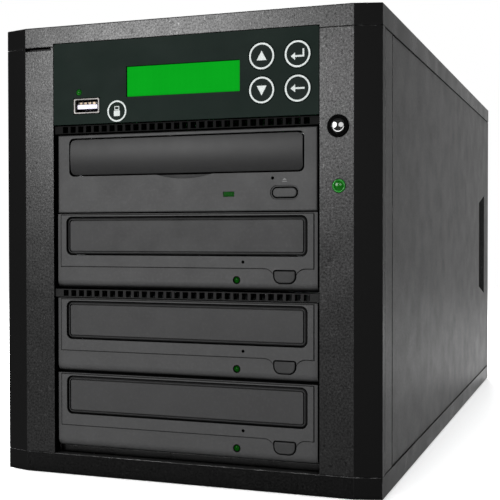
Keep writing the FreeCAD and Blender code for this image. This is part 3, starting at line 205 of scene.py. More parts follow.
def textured_paint(name, tone, roughness, glance, grain=1.0, metal=1.0, cloud=1.1, strips=False, wear_and_highlight=5):
    """Black powder paint with painted shade in its gaps and lighter edges, partly wear and partly a painted
    highlight. Tone is how much it reflects head-on, glance how strongly it does at a grazing angle."""
    tree, shader, made = new_material(name)
    rounded, edge = soft_edges(tree, 0.5 * MM)
    shade, height = pebbled_shade(tree, tone, cloud)
    rough = ramp(tree, noise(tree, 60, 3), roughness - 0.03, roughness + 0.04, 0.3, 0.7)
    if strips:
        strip = on_corner_strips(tree)
        # The cut corners: painted darker as shade, rougher and with a fainter grain
        shade = mixed(tree, strip, shade, grey(STRIP_PAINTED_SHADE))
        rough = add(tree, "ShaderNodeMix", {0: strip, 2: rough, 3: STRIP_ROUGHNESS}).outputs[0]
        height = math_node(tree, "MULTIPLY", height, ramp(tree, strip, 1, 0.2))
    # Painted shade: darker in gaps, corners and under overhangs
    shade = mixed(tree, painted_gap_shade(tree, 4 * MM), grey(tone * 0.12), shade)
    # Edges painted lighter, partly as rubbed wear and partly as a painted highlight
    worn_and_highlit = math_node(tree, "MULTIPLY", edge, ramp(tree, noise(tree, 260, 3), 0.1, 0.7, 0.4, 0.7))
    shade = mixed(tree, worn_and_highlit, shade, grey(tone * wear_and_highlight))
    level = ramp(tree, facing(tree)[2], 0, 1, 0.8, 0.97)
    shade = add(tree, "ShaderNodeVectorMath", {0: shade, "Scale": ramp(tree, level, 1, LEVEL_LIFT)},
                operation="SCALE").outputs[0]
    rough = add(tree, "ShaderNodeMix", {0: level, 2: rough, 3: LEVEL_ROUGHNESS}).outputs[0]
    plug(tree, shader, Base_Color=shade, Roughness=rough, Metallic=ramp(tree, level, metal, 0),
         Specular_IOR_Level=0.02, Specular_Tint=(glance, glance, glance, 1),
         Normal=bump(tree, height, 0.07 * MM, grain, rounded))
    return made


def moulded_plastic(name, colour, roughness, specular, grain=0.35, reach=2.0, spread=0.05):
    """Moulded plastic with a fine spark-eroded grain, painted shade in its gaps and a painted highlight
    on its edges. Reach is how wide the painted gap shade is in millimetres, spread how far its roughness
    varies."""
    tree, shader, made = new_material(name)
    rounded, edge = soft_edges(tree, 0.25 * MM)
    fine = noise(tree, 2200, 2, 0.6)
    clouds = noise(tree, 60, 4, 0.65)
    shade = mixed(tree, ramp(tree, clouds, 0, 1, 0.3, 0.7), times(colour, 0.93), times(colour, 1.07))
    mottle = ramp(tree, noise(tree, 620, 2, 0.5), 0, 0.35, 0.5, 0.72)
    shade = mixed(tree, mottle, shade, times(colour, 1.5))
    # Painted shade in gaps and corners
    shade = mixed(tree, painted_gap_shade(tree, reach * MM), times(colour, 0.06), shade)
    # Painted highlight along the edges
    shade = mixed(tree, math_node(tree, "MULTIPLY", edge, 0.4), shade, times(colour, 1.8))
    rough = ramp(tree, noise(tree, 90, 3), roughness - spread, roughness + spread, 0.3, 0.7)
    plug(tree, shader, Base_Color=shade, Roughness=rough, Specular_IOR_Level=specular,
         Normal=bump(tree, fine, 0.03 * MM, grain, rounded))
    return made


def coated_film(name, colour, roughness, specular):
    """The printed overlay of the control panel: smooth, with faint handling marks."""
    tree, shader, made = new_material(name)
    rounded, edge = soft_edges(tree, 0.2 * MM)
    marks = noise(tree, 45, 5, 0.7, (1, 1, 2.2))
    shade = mixed(tree, ramp(tree, marks, 0, 1, 0.35, 0.65), colour, times(colour, 1.18))
    # Painted highlight along the edges
    shade = mixed(tree, math_node(tree, "MULTIPLY", edge, 0.5), shade, times(colour, 2))
    rough = ramp(tree, noise(tree, 25, 4, 0.6), roughness - 0.05, roughness + 0.07, 0.3, 0.7)
    plug(tree, shader, Base_Color=shade, Roughness=rough, Specular_IOR_Level=specular,
         Normal=bump(tree, noise(tree, 3000, 1), 0.01 * MM, 0.25, rounded))
    return made


def sheet_metal(name, colour, roughness, scale=500, spangle=0.0):
    """Rolled or plated steel: fine mottling, zinc spangle where given, painted shade in gaps, painted
    highlights on edges.
    """
    tree, shader, made = new_material(name)
    rounded, edge = soft_edges(tree, 0.2 * MM)
    fine = noise(tree, scale, 4, 0.65)
    shade = mixed(tree, ramp(tree, fine, 0, 1, 0.3, 0.7), times(colour, 0.86), colour)
    if spangle:
        place = add(tree, "ShaderNodeTexCoord").outputs["Object"]
        cells = add(tree, "ShaderNodeTexVoronoi", {"Vector": place, "Scale": 130.0}).outputs["Color"]
        flake = add(tree, "ShaderNodeSeparateColor", {0: cells}).outputs[0]
        shade = mixed(tree, math_node(tree, "MULTIPLY", flake, spangle), shade, times(colour, 0.6))
    # Painted shade in gaps and corners
    shade = mixed(tree, painted_gap_shade(tree, 6 * MM), times(colour, 0.1), shade)
    # Painted highlight along the edges
    painted_edge_highlight = [min(part, 0.95) for part in times(colour, 1.3)]
    shade = mixed(tree, math_node(tree, "MULTIPLY", edge, 0.35), shade, painted_edge_highlight)
    rough = ramp(tree, noise(tree, 70, 3), roughness - 0.06, roughness + 0.08, 0.3, 0.7)
    plug(tree, shader, Base_Color=shade, Metallic=1.0, Roughness=rough,
         Normal=bump(tree, fine, 0.01 * MM, 0.3, rounded))
    return made


def soft_rubber(name, colour):
    """Matt rubber with dust in its grain, lighter along its edges."""
    tree, shader, made = new_material(name)
    rounded, edge = soft_edges(tree, 0.4 * MM)
    dust = ramp(tree, noise(tree, 220, 5, 0.7), 0, 0.5, 0.5, 0.75)
    shade = mixed(tree, dust, colour, times(colour, 2.2))
    plug(tree, shader, Base_Color=mixed(tree, edge, shade, times(colour, 1.6)), Roughness=0.8,
         Specular_IOR_Level=0.3, Normal=bump(tree, noise(tree, 900, 3), 0.05 * MM, 0.5, rounded))
    return made


def gloss_black(name, roughness, specular):
    """Polished black plastic with hairline scuffs."""
    tree, shader, made = new_material(name)
    scuffs = noise(tree, 350, 5, 0.8, (1, 1, 4))
    rough = ramp(tree, scuffs, roughness, roughness + 0.08, 0.5, 0.75)
    shade = mixed(tree, ramp(tree, scuffs, 0, 1, 0.5, 0.8), grey(0.001), grey(0.004))
    plug(tree, shader, Base_Color=shade, Roughness=rough, Specular_IOR_Level=specular)
    return made


def lamp_lens(name, colour, glow, specular):
    """A tinted clear lens with a little light in it; the tint is uneven as in a moulded part."""
    tree, shader, made = new_material(name)
    depth = noise(tree, 420, 2)
    shade = mixed(tree, ramp(tree, depth, 0, 1, 0.3, 0.7), times(colour, 0.6), colour)
    plug(tree, shader, Base_Color=shade, Roughness=0.12, Specular_IOR_Level=specular,
         Emission_Color=(*colour, 1), Emission_Strength=glow,
         Normal=bump(tree, noise(tree, 800, 1), 0.01 * MM, 0.2))
    return made


def cell_mask(tree, place, start, pitch, cell):
    """1 inside the repeated cells of a row, 0 between them."""
    steps = math_node(tree, "DIVIDE", math_node(tree, "SUBTRACT", place, start), pitch)
    return math_node(tree, "LESS_THAN", math_node(tree, "FRACT", steps), cell / pitch)


def lit_display(name):
    """A backlit character display: two rows of sixteen faint cells on green."""
    tree, shader, made = new_material(name)
    place = add(tree, "ShaderNodeTexCoord").outputs["Object"]
    across, _, up = add(tree, "ShaderNodeSeparateXYZ", {0: place}).outputs
    columns = cell_mask(tree, across, WINDOW_LEFT + 3.5 * MM, 3.55 * MM, 2.95 * MM)
    rows = cell_mask(tree, up, WINDOW_FLOOR + 2.1 * MM, 5.95 * MM, 5.55 * MM)
    cells = math_node(tree, "MULTIPLY", columns, rows)
    clouds = ramp(tree, noise(tree, 25, 2), 0, 1, 0.3, 0.7)
    lit = mixed(tree, clouds, (0.002, 0.29, 0.0095), (0.003, 0.325, 0.012))
    lit = mixed(tree, math_node(tree, "MULTIPLY", cells, 0.07), lit, (0.001, 0.2, 0.006))
    dim = mixed(tree, 0.5, lit, grey(0))
    plug(tree, shader, Base_Color=mixed(tree, 0.7, dim, grey(0)), Emission_Color=lit,
         Emission_Strength=0.8, Roughness=0.5, Specular_IOR_Level=0.0)
    return made


def circuit_board(name):
    """Green solder mask over copper traces."""
    tree, shader, made = new_material(name)
    place = add(tree, "ShaderNodeTexCoord").outputs["Object"]
    blocks = add(tree, "ShaderNodeTexBrick",
                 {"Vector": place, "Scale": 140.0, "Mortar Size": 0.03, "Mortar Smooth": 0.2,
                  "Color1": (0.012, 0.08, 0.02, 1), "Color2": (0.016, 0.1, 0.026, 1),
                  "Mortar": (0.03, 0.16, 0.05, 1)})
    plug(tree, shader, Base_Color=blocks.outputs["Color"],
         Roughness=ramp(tree, noise(tree, 60), 0.3, 0.45),
         Normal=bump(tree, blocks.outputs["Fac"], 0.03 * MM, 0.5))
    return made


# Numbers without a name, in their order: tone and roughness of paint; roughness, specular level
# and grain of plastic; glow and specular level of a lens; roughness and specular level of the rest
MATERIALS = {
    "case_paint": textured_paint("case_paint", 0.009, 0.29, glance=0.52, grain=0.34, strips=True),
    # The base's edges are painted much lighter, mostly as a painted highlight along its top front edge
    "base_paint": textured_paint("base_paint", 0.0038, 0.29, glance=0.52, grain=0.34, strips=True,
                                 wear_and_highlight=50),
    "panel_paint": textured_paint("panel_paint", 0.037, 0.36, glance=0.4, grain=0.7, metal=0.5,
                                  cloud=1.06),
    "bezel_plastic": textured_paint("bezel_plastic", 0.009, 0.29, glance=0.52, grain=0.34, strips=True),
    "vent_plastic": moulded_plastic("vent_plastic", grey(0.0045), 0.5, 0.03),
    # A darker copy of the vent plastic: painted shade on the upper vent bar
    "vent_painted_shade": moulded_plastic("vent_painted_shade", grey(0.002), 0.5, 0.01),
    "chassis_steel": sheet_metal("chassis_steel", (0.02, 0.02, 0.021), 0.5),
    "screw_steel": moulded_plastic("screw_steel", grey(0.012), 0.35, 0.6, 0.2),
    "foot_rubber": soft_rubber("foot_rubber", grey(0.012)),
    "panel_plastic": coated_film("panel_plastic", (0.0022, 0.0045, 0.0035), 0.55, 0.02),
    "display_green": lit_display("display_green"),
    "key_plastic": coated_film("key_plastic", (0.0022, 0.0042, 0.0035), 0.5, 0.02),
    "print_white": moulded_plastic("print_white", (0.26, 0.277, 0.27), 0.6, 0.05, 0.15),
    "print_grey": moulded_plastic("print_grey", grey(0.07), 0.6, 0.05, 0.15),
    "board_green": circuit_board("board_green"),
    "socket_steel": sheet_metal("socket_steel", (0.08, 0.077, 0.074), 0.52),
    "contact_gold": sheet_metal("contact_gold", (0.1, 0.08, 0.06), 0.45),
    "contact_bed": moulded_plastic("contact_bed", (0.035, 0.03, 0.028), 0.5, 0.1, 0.1),
    "satin_lip": sheet_metal("satin_lip", grey(0.13), 0.45),
    "tongue_plastic": moulded_plastic("tongue_plastic", (0.4, 0.38, 0.45), 0.5, 0.1, 0.1),
    "lamp_green": lamp_lens("lamp_green", (0.0003, 0.042, 0.0005), 0.4, 0.05),
    "lamp_rim": lamp_lens("lamp_rim", (0.006, 0.085, 0.008), 0.3, 0.07),
    "light_green": lamp_lens("light_green", (0.0002, 0.021, 0.0003), 0.2, 0.012),
    "ring_plastic": gloss_black("ring_plastic", 0.2, 0.0),
    "button_chrome": gloss_black("button_chrome", 0.03, 0.25),
    "rim_gloss": gloss_black("rim_gloss", 0.3, 0.1),
    "housing_steel": sheet_metal("housing_steel", (0.55, 0.56, 0.57), 0.34, spangle=0.35),
    # Reach sets how wide the painted gap shade is; the eject buttons are painted darker as the shade of
    # their recess
    "drive_plastic": moulded_plastic("drive_plastic", (0.0202, 0.0202, 0.0204), 0.5, 0.06, 0.5, reach=5),
    "door_plastic": moulded_plastic("door_plastic", (0.0145, 0.0145, 0.0147), 0.5, 0.06, 0.5, reach=3),
    "eject_plastic": moulded_plastic("eject_plastic", (0.013, 0.013, 0.0131), 0.5, 0.05, 0.4, reach=6),
    "door_satin": moulded_plastic("door_satin", (0.0045, 0.0045, 0.0046), 0.39, 0.058, reach=3,
                                  spread=0.012),
    "tray_plastic": moulded_plastic("tray_plastic", (0.025, 0.025, 0.0255), 0.45, 0.2, 0.3),
    "hub_steel": sheet_metal("hub_steel", (0.6, 0.6, 0.62), 0.25),
    "psu_steel": sheet_metal("psu_steel", (0.5, 0.51, 0.52), 0.36, scale=400, spangle=0.4),
    "fan_plastic": moulded_plastic("fan_plastic", grey(0.014), 0.45, 0.2),
    "inlet_plastic": moulded_plastic("inlet_plastic", grey(0.012), 0.4, 0.2),
}


def dress(piece, look):
    """Give a piece one material."""
    piece.data.materials.clear()
    piece.data.materials.append(MATERIALS[look])


def dress_frame():
    """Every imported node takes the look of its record's slot, with a few finer choices."""
    finer = {"side_panel_left": "panel_paint", "side_panel_right": "panel_paint",
             "lower_vent_bar": "vent_plastic", "upper_vent_bar": "vent_painted_shade", "base_cover": "base_paint"}
    for number in DRIVES[1:]:
        finer["drive_%d_tray_door" % number] = "door_plastic"
        finer["drive_%d_eject_button" % number] = "eject_plastic"
    for name, node in NODES.items():
        slot = node.data.materials[0].name.split(".")[0]
        dress(node, finer.get(name, slot))


dress_frame()


# Mesh helpers

WELD_REACH = 0.001 * MM


def link_mesh(name, maker):
    """A scene object made from a bmesh, which is used up."""
    data = bpy.data.meshes.new(name)
    bmesh.ops.recalc_face_normals(maker, faces=maker.faces)
    maker.to_mesh(data)
    maker.free()
    made = bpy.data.objects.new(name, data)
    bpy.context.scene.collection.objects.link(made)
    return made


def to_object(name, maker, look, body):
    """Turn a bmesh into a named piece that rides on a body, with its look in its one material slot."""
    piece = link_mesh(name, maker)
    dress(piece, look)
    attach(piece, body)
    return piece


def smooth(piece, degrees=35):
    """Smooth shading except across sharp edges."""
    for face in piece.data.polygons:
        face.use_smooth = True
    piece.data.set_sharp_from_angle(angle=math.radians(degrees))
    return piece


def prism(maker, outline, low, high, place=Matrix.Identity(4)):
    """A closed solid: a flat outline (across, up) on the XZ plane, from one depth to another."""
    front = [maker.verts.new(place @ Vector((x, low, z))) for x, z in outline]
    back = [maker.verts.new(place @ Vector((x, high, z))) for x, z in outline]
    maker.faces.new(front)
    maker.faces.new(list(reversed(back)))
    for index in range(len(outline)):
        after = (index + 1) % len(outline)
        maker.faces.new((front[after], front[index], back[index], back[after]))


def row_of(maker, outline, depth):
    """The corners of an outline (across, up) at a depth."""
    return [maker.verts.new((x, depth, z)) for x, z in outline]


def bridge(maker, row, after):
    """Faces all round between two closed rows with as many points."""
    count = len(row)
    for index in range(count):
        following = (index + 1) % count
        maker.faces.new((row[index], row[following], after[following], after[index]))


def tube(maker, outer, inner, low, high):
    """A closed solid between two outlines with as many points, along Y."""
    rows = [row_of(maker, outline, depth)
            for outline, depth in ((outer, low), (inner, low), (inner, high), (outer, high))]
    for row, after in zip(rows, rows[1:] + rows[:1]):
        bridge(maker, row, after)


def turned(points, degrees, across, up):
    """Points about the origin, turned and then moved."""
    spin = math.radians(degrees)
    return [(across + x * math.cos(spin) - z * math.sin(spin),
             up + x * math.sin(spin) + z * math.cos(spin)) for x, z in points]


def circle_points(x, z, radius, count=64):
    return [(x + radius * math.cos(math.tau * i / count), z + radius * math.sin(math.tau * i / count))
            for i in range(count)]


def rounded_points(x, z, wide, tall, radius, steps=6):
    """A rectangle with round corners about a middle, counter-clockwise."""
    points = []
    for turn, (side, rise) in enumerate(((1, 1), (-1, 1), (-1, -1), (1, -1))):
        centre = (x + side * (wide / 2 - radius), z + rise * (tall / 2 - radius))
        for step in range(steps + 1):
            angle = math.pi / 2 * (turn + step / steps)
            points.append((centre[0] + radius * math.cos(angle), centre[1] + radius * math.sin(angle)))
    return points


def lathe(maker, centre, axis, profile, segments=64):
    """Revolve (radius, along) points about an axis through a centre; a radius of 0 closes an end."""
    along = Vector(axis).normalized()
    first = along.orthogonal().normalized()
    second = along.cross(first)
    turns = [math.tau * i / segments for i in range(segments)]
    rows = []
    for radius, reach in profile:
        hub = Vector(centre) + along * reach
        if radius == 0:
            rows.append([maker.verts.new(hub)])
            continue
        rows.append([maker.verts.new(hub + (first * math.cos(turn) + second * math.sin(turn)) * radius)
                     for turn in turns])
    for row, after in zip(rows, rows[1:]):
        for index in range(segments):
            following = (index + 1) % segments
            corners = [row[index % len(row)], row[following % len(row)],
                       after[following % len(after)], after[index % len(after)]]
            unique = list(dict.fromkeys(corners))
            if len(unique) > 2:
                maker.faces.new(unique)


def closed_lathe(maker, centre, profile, segments=64):
    """Revolve a profile that ends where it starts, about an axis to the front."""
    lathe(maker, centre, AHEAD, profile, segments)
    bmesh.ops.remove_doubles(maker, verts=maker.verts, dist=WELD_REACH)


def arc(centre_radius, centre_along, radius, start, stop, steps=8):
    """Points of a round in a lathe's profile, angles in degrees from the outward direction."""
    points = []
    for step in range(steps + 1):
        angle = math.radians(start + (stop - start) * step / steps)
        points.append((centre_radius + radius * math.cos(angle), centre_along + radius * math.sin(angle)))
    return points


# Prints on the keys and the panel

INK = 0.05 * MM
STROKE = 0.92 * MM
RING_INSET = 1.35 * MM
SHAFT = 0.9 * MM
TRIANGLE_WIDE, TRIANGLE_TALL, TRIANGLE_SHIFT = 5.3 * MM, 4.9 * MM, 0.3 * MM
SOCKET_PRINT = (-36.5 * MM, 195.7 * MM)


def stamp(maker, outline, hole=None, face=FRONT):
    """A print that stands a hair proud of a face, open inside where it has a hole."""
    if hole:
        tube(maker, outline, hole, face - INK, face + INK)
    else:
        prism(maker, outline, face - INK, face + INK)


def triangle(x, z, rise):
    """A filled triangle about a middle, point up for a rise of 1 and down for -1."""
    left, right = x - TRIANGLE_WIDE / 2, x + TRIANGLE_WIDE / 2
    foot, tip = z - rise * TRIANGLE_TALL / 2, z + rise * TRIANGLE_TALL / 2
    return [(left, foot), (right, foot), (x, tip)]


def arrow_left(x, z, wide, tall):
    """A plain arrow to the left about a middle."""
    left, right = x - wide / 2, x + wide / 2
    neck = left + tall * 0.62
    half = SHAFT / 2
    return [(left, z), (neck, z - tall / 2), (neck, z - half), (right, z - half),
            (right, z + half), (neck, z + half), (neck, z + tall / 2)]


def return_arrow(x, z, wide, tall):
    """An arrow to the left whose tail turns up at its right end."""
    left, right = x - wide / 2, x + wide / 2
    low, top = z - tall * 0.22, z + tall / 2
    neck, barb = left + tall * 0.45, tall * 0.38
    half = SHAFT / 2
    return [(left, low), (neck, low - barb), (neck, low - half), (right, low - half), (right, top),
            (right - SHAFT, top), (right - SHAFT, low + half), (neck, low + half), (neck, low + barb)]


def key_mark(label, x, z):
    if label == "key_up":
        return triangle(x, z + TRIANGLE_SHIFT, 1)
    if label == "key_down":
        return triangle(x, z - TRIANGLE_SHIFT, -1)
    if label == "key_enter":
        return return_arrow(x, z, 7 * MM, 5 * MM)
    return arrow_left(x, z, 7.4 * MM, 4 * MM)


def make_key_prints():
    """A white ring and a plain mark on each key's cap."""
    for label, body in KEY_BODIES.items():
        spot = middle(label)
        radius = size(label).x / 2 - RING_INSET
        maker = bmesh.new()
        stamp(maker, circle_points(spot.x, spot.z, radius), circle_points(spot.x, spot.z, radius - STROKE))
        stamp(maker, key_mark(label, spot.x, spot.z))
        to_object(label + "_print", maker, "print_white", body)


def make_socket_print():
    """A white ring with a plain plug in it, printed beside the USB socket."""
    x, z = SOCKET_PRINT
    maker = bmesh.new()
    stamp(maker, circle_points(x, z, 5.6 * MM), circle_points(x, z, 4.75 * MM))
    stamp(maker, rounded_points(x, z - 1.15 * MM, 3.6 * MM, 3 * MM, 0.5 * MM))
    tip, tall = z + 1.575 * MM, 2.05 * MM
    stamp(maker, rounded_points(x, tip, 2.8 * MM, tall, 0.1 * MM, 1),
          rounded_points(x, tip, 2 * MM, tall - 0.8 * MM, 0.1 * MM, 1))
    to_object("socket_print", maker, "print_white", "case")


make_key_prints()
make_socket_print()


# USB socket

USB_REAR = FRONT + 14.6 * MM
CONTACT_RISE, CONTACT_PITCH = 1.5 * MM, 2.6 * MM


def make_usb_shell(x, z, wide, tall):
    """Rolled steel with a flanged mouth, hollow to its closed rear."""
    maker = bmesh.new()
    # Each row from the rim inward: how much narrower and lower it is, its corner radius, its depth
    inward = ((0, 0, 0.7, 0.3), (0, 0, 0.7, -0.05), (0.4, 0.4, 0.6, -0.25), (1.6, 1.4, 0.7, -0.2),
              (2.1, 1.8, 0.6, 0.2), (2.1, 1.8, 0.6, 14.8))
    rows = [row_of(maker, rounded_points(x, z, wide - narrower * MM, tall - lower * MM, corner * MM),
                   FRONT + depth * MM) for narrower, lower, corner, depth in inward]
    for row, after in zip(rows, rows[1:]):
        bridge(maker, row, after)
    maker.faces.new(rows[-1])
    sleeve = rounded_points(x, z, wide - 1.1 * MM, tall - 0.7 * MM, 0.7 * MM)
    rear = row_of(maker, sleeve, FRONT + 15.5 * MM)
    neck = row_of(maker, sleeve, FRONT + 1 * MM)
    rim = row_of(maker, rounded_points(x, z, wide, tall, 0.7 * MM), FRONT + 1 * MM)
    for row, after in ((rows[0], rim), (rim, neck), (neck, rear)):
        bridge(maker, row, after)
    maker.faces.new(rear)
    shell = smooth(to_object("usb_shell", maker, "socket_steel", "case"))
    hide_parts("usb_port")


def make_usb_tongue(x, z):
    maker = bmesh.new()
    prism(maker, rounded_points(x, z - 0.35 * MM, 12 * MM, 2.2 * MM, 0.3 * MM, 3),
          FRONT + 0.9 * MM, USB_REAR)
    to_object("usb_tongue", maker, "tongue_plastic", "case")


def make_usb_contacts(x, z):
    """Four contacts on the bed that carries them."""
    maker = bmesh.new()
    prism(maker, rounded_points(x, z + CONTACT_RISE, 11.6 * MM, 1.5 * MM, 0.2 * MM, 3),
          FRONT + 1.5 * MM, USB_REAR)
    to_object("usb_contact_bed", maker, "contact_bed", "case")
    maker = bmesh.new()
    for step in (-1.5, -0.5, 0.5, 1.5):
        prism(maker, rounded_points(x + step * CONTACT_PITCH, z + CONTACT_RISE, 1.6 * MM, 1.3 * MM,
                                    0.1 * MM, 2), FRONT + 1.2 * MM, FRONT + 13 * MM)
    to_object("usb_contacts", maker, "contact_gold", "case")


def make_usb_socket():
    spot, span = middle("usb_port"), size("usb_port")
    make_usb_shell(spot.x, spot.z, span.x, span.z)
    make_usb_tongue(spot.x, spot.z)
    make_usb_contacts(spot.x, spot.z)


make_usb_socket()


# Power button

def make_power_ring(centre, radius):
    """A black ring whose mouth slopes in toward the button."""
    outer, bore = radius + 1.55 * MM, radius + 0.15 * MM
    profile = [(outer, -2 * MM), (outer, 0.2 * MM)] + arc(outer - 0.5 * MM, 0.2 * MM, 0.5 * MM, 0, 90)
    profile += [(bore + 0.25 * MM, 0.65 * MM), (bore, 0.4 * MM), (bore, -9 * MM), (outer, -9 * MM),
                (outer, -2 * MM)]
    maker = bmesh.new()
    closed_lathe(maker, centre, profile)
    ring = smooth(to_object("power_ring", maker, "ring_plastic", "case"), 28)
    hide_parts("power_button_ring")


def make_power_rim(centre, radius):
    """The button's polished rim, whose face leans inward."""
    outer, inner, foot = radius - 0.02 * MM, radius - 0.62 * MM, -8.6 * MM
    maker = bmesh.new()
    closed_lathe(maker, centre, [(outer, foot), (outer, 0.5 * MM), (inner, -0.1 * MM), (inner, foot),
                                 (outer, foot)])
    rim = smooth(to_object("power_rim", maker, "rim_gloss", "power_push"), 28)
    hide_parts("power_button")


def make_power_cap(centre, radius):
    """A shallow dome inside the rim."""
    reach, ball, top = radius - 0.64 * MM, 18 * MM, 0.35 * MM
    start = math.degrees(math.acos(reach / ball))
    maker = bmesh.new()
    lathe(maker, centre, AHEAD, [(0, -8.5 * MM), (reach, -8.5 * MM)]
          + arc(0, top - ball, ball, start, 89.9, 16) + [(0, top)])
    smooth(to_object("power_cap", maker, "button_chrome", "power_push"), 40)


def crescent(outer, inner, lift, steps):
    """A crescent along the lower side of a circle, in millimetres about its middle. The inner
    circle lies higher by the lift, and the tips end 2 degrees short of where the circles meet."""
    reach = (outer * outer - inner * inner + lift * lift) / (2 * lift)
    start = math.degrees(math.asin(reach / outer)) - 2
    low = math.degrees(math.asin((reach - lift) / inner)) - 2
    sweep = [math.radians(start - (180 + 2 * start) * step / steps) for step in range(steps + 1)]
    back = [math.radians(-180 - low + (180 + 2 * low) * step / steps) for step in range(1, steps)]
    return ([(outer * math.cos(turn), outer * math.sin(turn)) for turn in sweep]
            + [(inner * math.cos(turn), lift + inner * math.sin(turn)) for turn in back])


def make_power_lip(centre):
    """A satin crescent low on the cap."""
    lip = [(centre[0] + x * MM, centre[2] + z * MM) for x, z in crescent(2.9, 2.75, 0.42, 24)]
    maker = bmesh.new()
    prism(maker, lip, FRONT - 0.3 * MM, FRONT + 1 * MM)
    to_object("power_lip", maker, "satin_lip", "power_push")


def make_power_button():
    spot = middle("power_button")
    centre = (spot.x, FRONT, spot.z)
    radius = size("power_button").x / 2
    make_power_ring(centre, radius)
    make_power_rim(centre, radius)
    make_power_cap(centre, radius)
    make_power_lip(centre)


make_power_button()


# Lamps and drive lights

LAMP_RADIUS, LAMP_SHOULDER = 3.3 * MM, 1.2 * MM
SOCKET_LAMP_RADIUS, SOCKET_LAMP_INSET = 1.55 * MM, 1.6 * MM
TOP_LIGHT_X, TOP_LIGHT_DROP = 26.15 * MM, 1.2 * MM
LIGHT_X, LIGHT_RISE, LIGHT_RADIUS = 30.4 * MM, 5.6 * MM, 1.5 * MM


def domed_lens(maker, x, z, face, radius, rise, depth):
    """A lens with a domed front, along Y from its face backward."""
    ball = (radius * radius + rise * rise) / (2 * rise)
    rim = math.degrees(math.acos(radius / ball))
    profile = [(0, -depth), (radius, -depth)] + arc(0, rise - ball, ball, rim, 89.9, 10) + [(0, rise)]
    lathe(maker, (x, face, z), AHEAD, profile, 40)


def make_collar(name, x, z, face):
    """A thin round collar about a drive's round light."""
    inner, outer, rise = LIGHT_RADIUS, 2.1 * MM, 0.15 * MM
    half = (outer - inner) / 2
    profile = [(outer, -1 * MM)] + arc(inner + half, rise - half, half, 0, 180, 10)
    profile += [(inner, -1 * MM), (outer, -1 * MM)]
    maker = bmesh.new()
    closed_lathe(maker, (x, face, z), profile, 48)
    smooth(to_object(name, maker, "ring_plastic", "case"), 60)


def make_power_lamp_rim(x, z):
    """The rounded rim of the power lamp."""
    half = 0.48 * MM
    ridge = LAMP_RADIUS - half
    profile = [(ridge + half, -2 * MM)] + arc(ridge, 0.1 * MM, half, 0, 180, 12)
    profile += [(ridge - half, -2 * MM), (ridge + half, -2 * MM)]
    maker = bmesh.new()
    closed_lathe(maker, (x, FRONT, z), profile, 56)
    smooth(to_object("power_lamp_rim", maker, "lamp_rim", "case"), 60)


def make_front_lamps():
    """The power lamp, a low dome inside its rim, and the socket's small lamp."""
    low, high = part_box("front_lamps")
    x, z = high.x - LAMP_RADIUS - LAMP_SHOULDER, low.z + LAMP_RADIUS + LAMP_SHOULDER
    maker = bmesh.new()
    domed_lens(maker, x, z, FRONT, LAMP_RADIUS - 1 * MM, 0.3 * MM, 10 * MM)
    domed_lens(maker, low.x + SOCKET_LAMP_INSET, high.z - SOCKET_LAMP_INSET, FRONT,
               SOCKET_LAMP_RADIUS, 0.7 * MM, 11 * MM)
    lens = smooth(to_object("lamp_lenses", maker, "lamp_green", "case"), 60)
    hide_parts("front_lamps")
    make_power_lamp_rim(x, z)


def make_drive_lights():
    """Inset lenses of the four drives: an oblong one on the top drive, round ones below."""
    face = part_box("drive_1_bezel")[0].y
    top_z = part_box("drive_lights")[1].z - TOP_LIGHT_DROP
    maker = bmesh.new()
    prism(maker, rounded_points(TOP_LIGHT_X, top_z, 5.8 * MM, 2.3 * MM, 0.4 * MM, 3),
          face + 0.1 * MM, face + 9 * MM)
    for number in DRIVES[1:]:
        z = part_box("drive_%d_bezel" % number)[0].z + LIGHT_RISE
        domed_lens(maker, LIGHT_X, z, face + 0.4 * MM, LIGHT_RADIUS, 0.5 * MM, 9 * MM)
        make_collar("drive_%d_light_collar" % number, LIGHT_X, z, face)
    lens = smooth(to_object("drive_lenses", maker, "light_green", "case"), 40)
    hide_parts("drive_lights")


make_front_lamps()
make_drive_lights()


# Screws at the rear

RIBS, RIB_TALL = 36, 0.3 * MM
FAN_HOLE = 35.75 * MM


def screw_middles(node):
    """The middle, across and up, and the radius of a node's upper and lower screw."""
    low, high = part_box(node)
    radius = (high.x - low.x) / 2
    return [(low.x + radius, high.z - radius, radius), (low.x + radius, low.z + radius, radius)]


def ribbed_points(x, z, radius):
    """A circle with square ribs, four points to a rib."""
    points = []
    for index in range(RIBS * 4):
        reach = radius + (RIB_TALL if index % 4 < 2 else 0)
        angle = math.tau * index / (RIBS * 4)
        points.append((x + reach * math.cos(angle), z + reach * math.sin(angle)))
    return points


def make_knurls():
    """A ribbed grip round the head of each thumb screw."""
    for side in ("right", "left"):
        node = "thumb_screws_" + side
        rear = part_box(node)[1].y
        maker = bmesh.new()
        for x, z, radius in screw_middles(node):
            tube(maker, ribbed_points(x, z, radius), circle_points(x, z, radius - 0.4 * MM, RIBS * 4),
                 rear - 4.4 * MM, rear - 0.7 * MM)
        to_object("knurls_" + side, maker, "screw_steel", "panel_" + side)


def cross_screw(maker, x, z, face, radius, tall):
    """A flat-headed screw with a cross slot between four raised sectors, on a rear face."""
    floor = tall * 0.45
    lathe(maker, (x, face, z), (0, 1, 0), [(0, -1 * MM), (radius, -1 * MM), (radius, floor), (0, floor)], 28)
    slot, reach = radius * 0.16, radius * 0.93
    start = math.degrees(math.asin(slot / reach))
    sector = [(slot, slot)]
    for step in range(7):
        angle = math.radians(start + (90 - 2 * start) * step / 6)
        sector.append((reach * math.cos(angle), reach * math.sin(angle)))
    for turn in (0, 90, 180, 270):
        prism(maker, turned(sector, turn, x, z), face + tall * 0.3, face + tall)


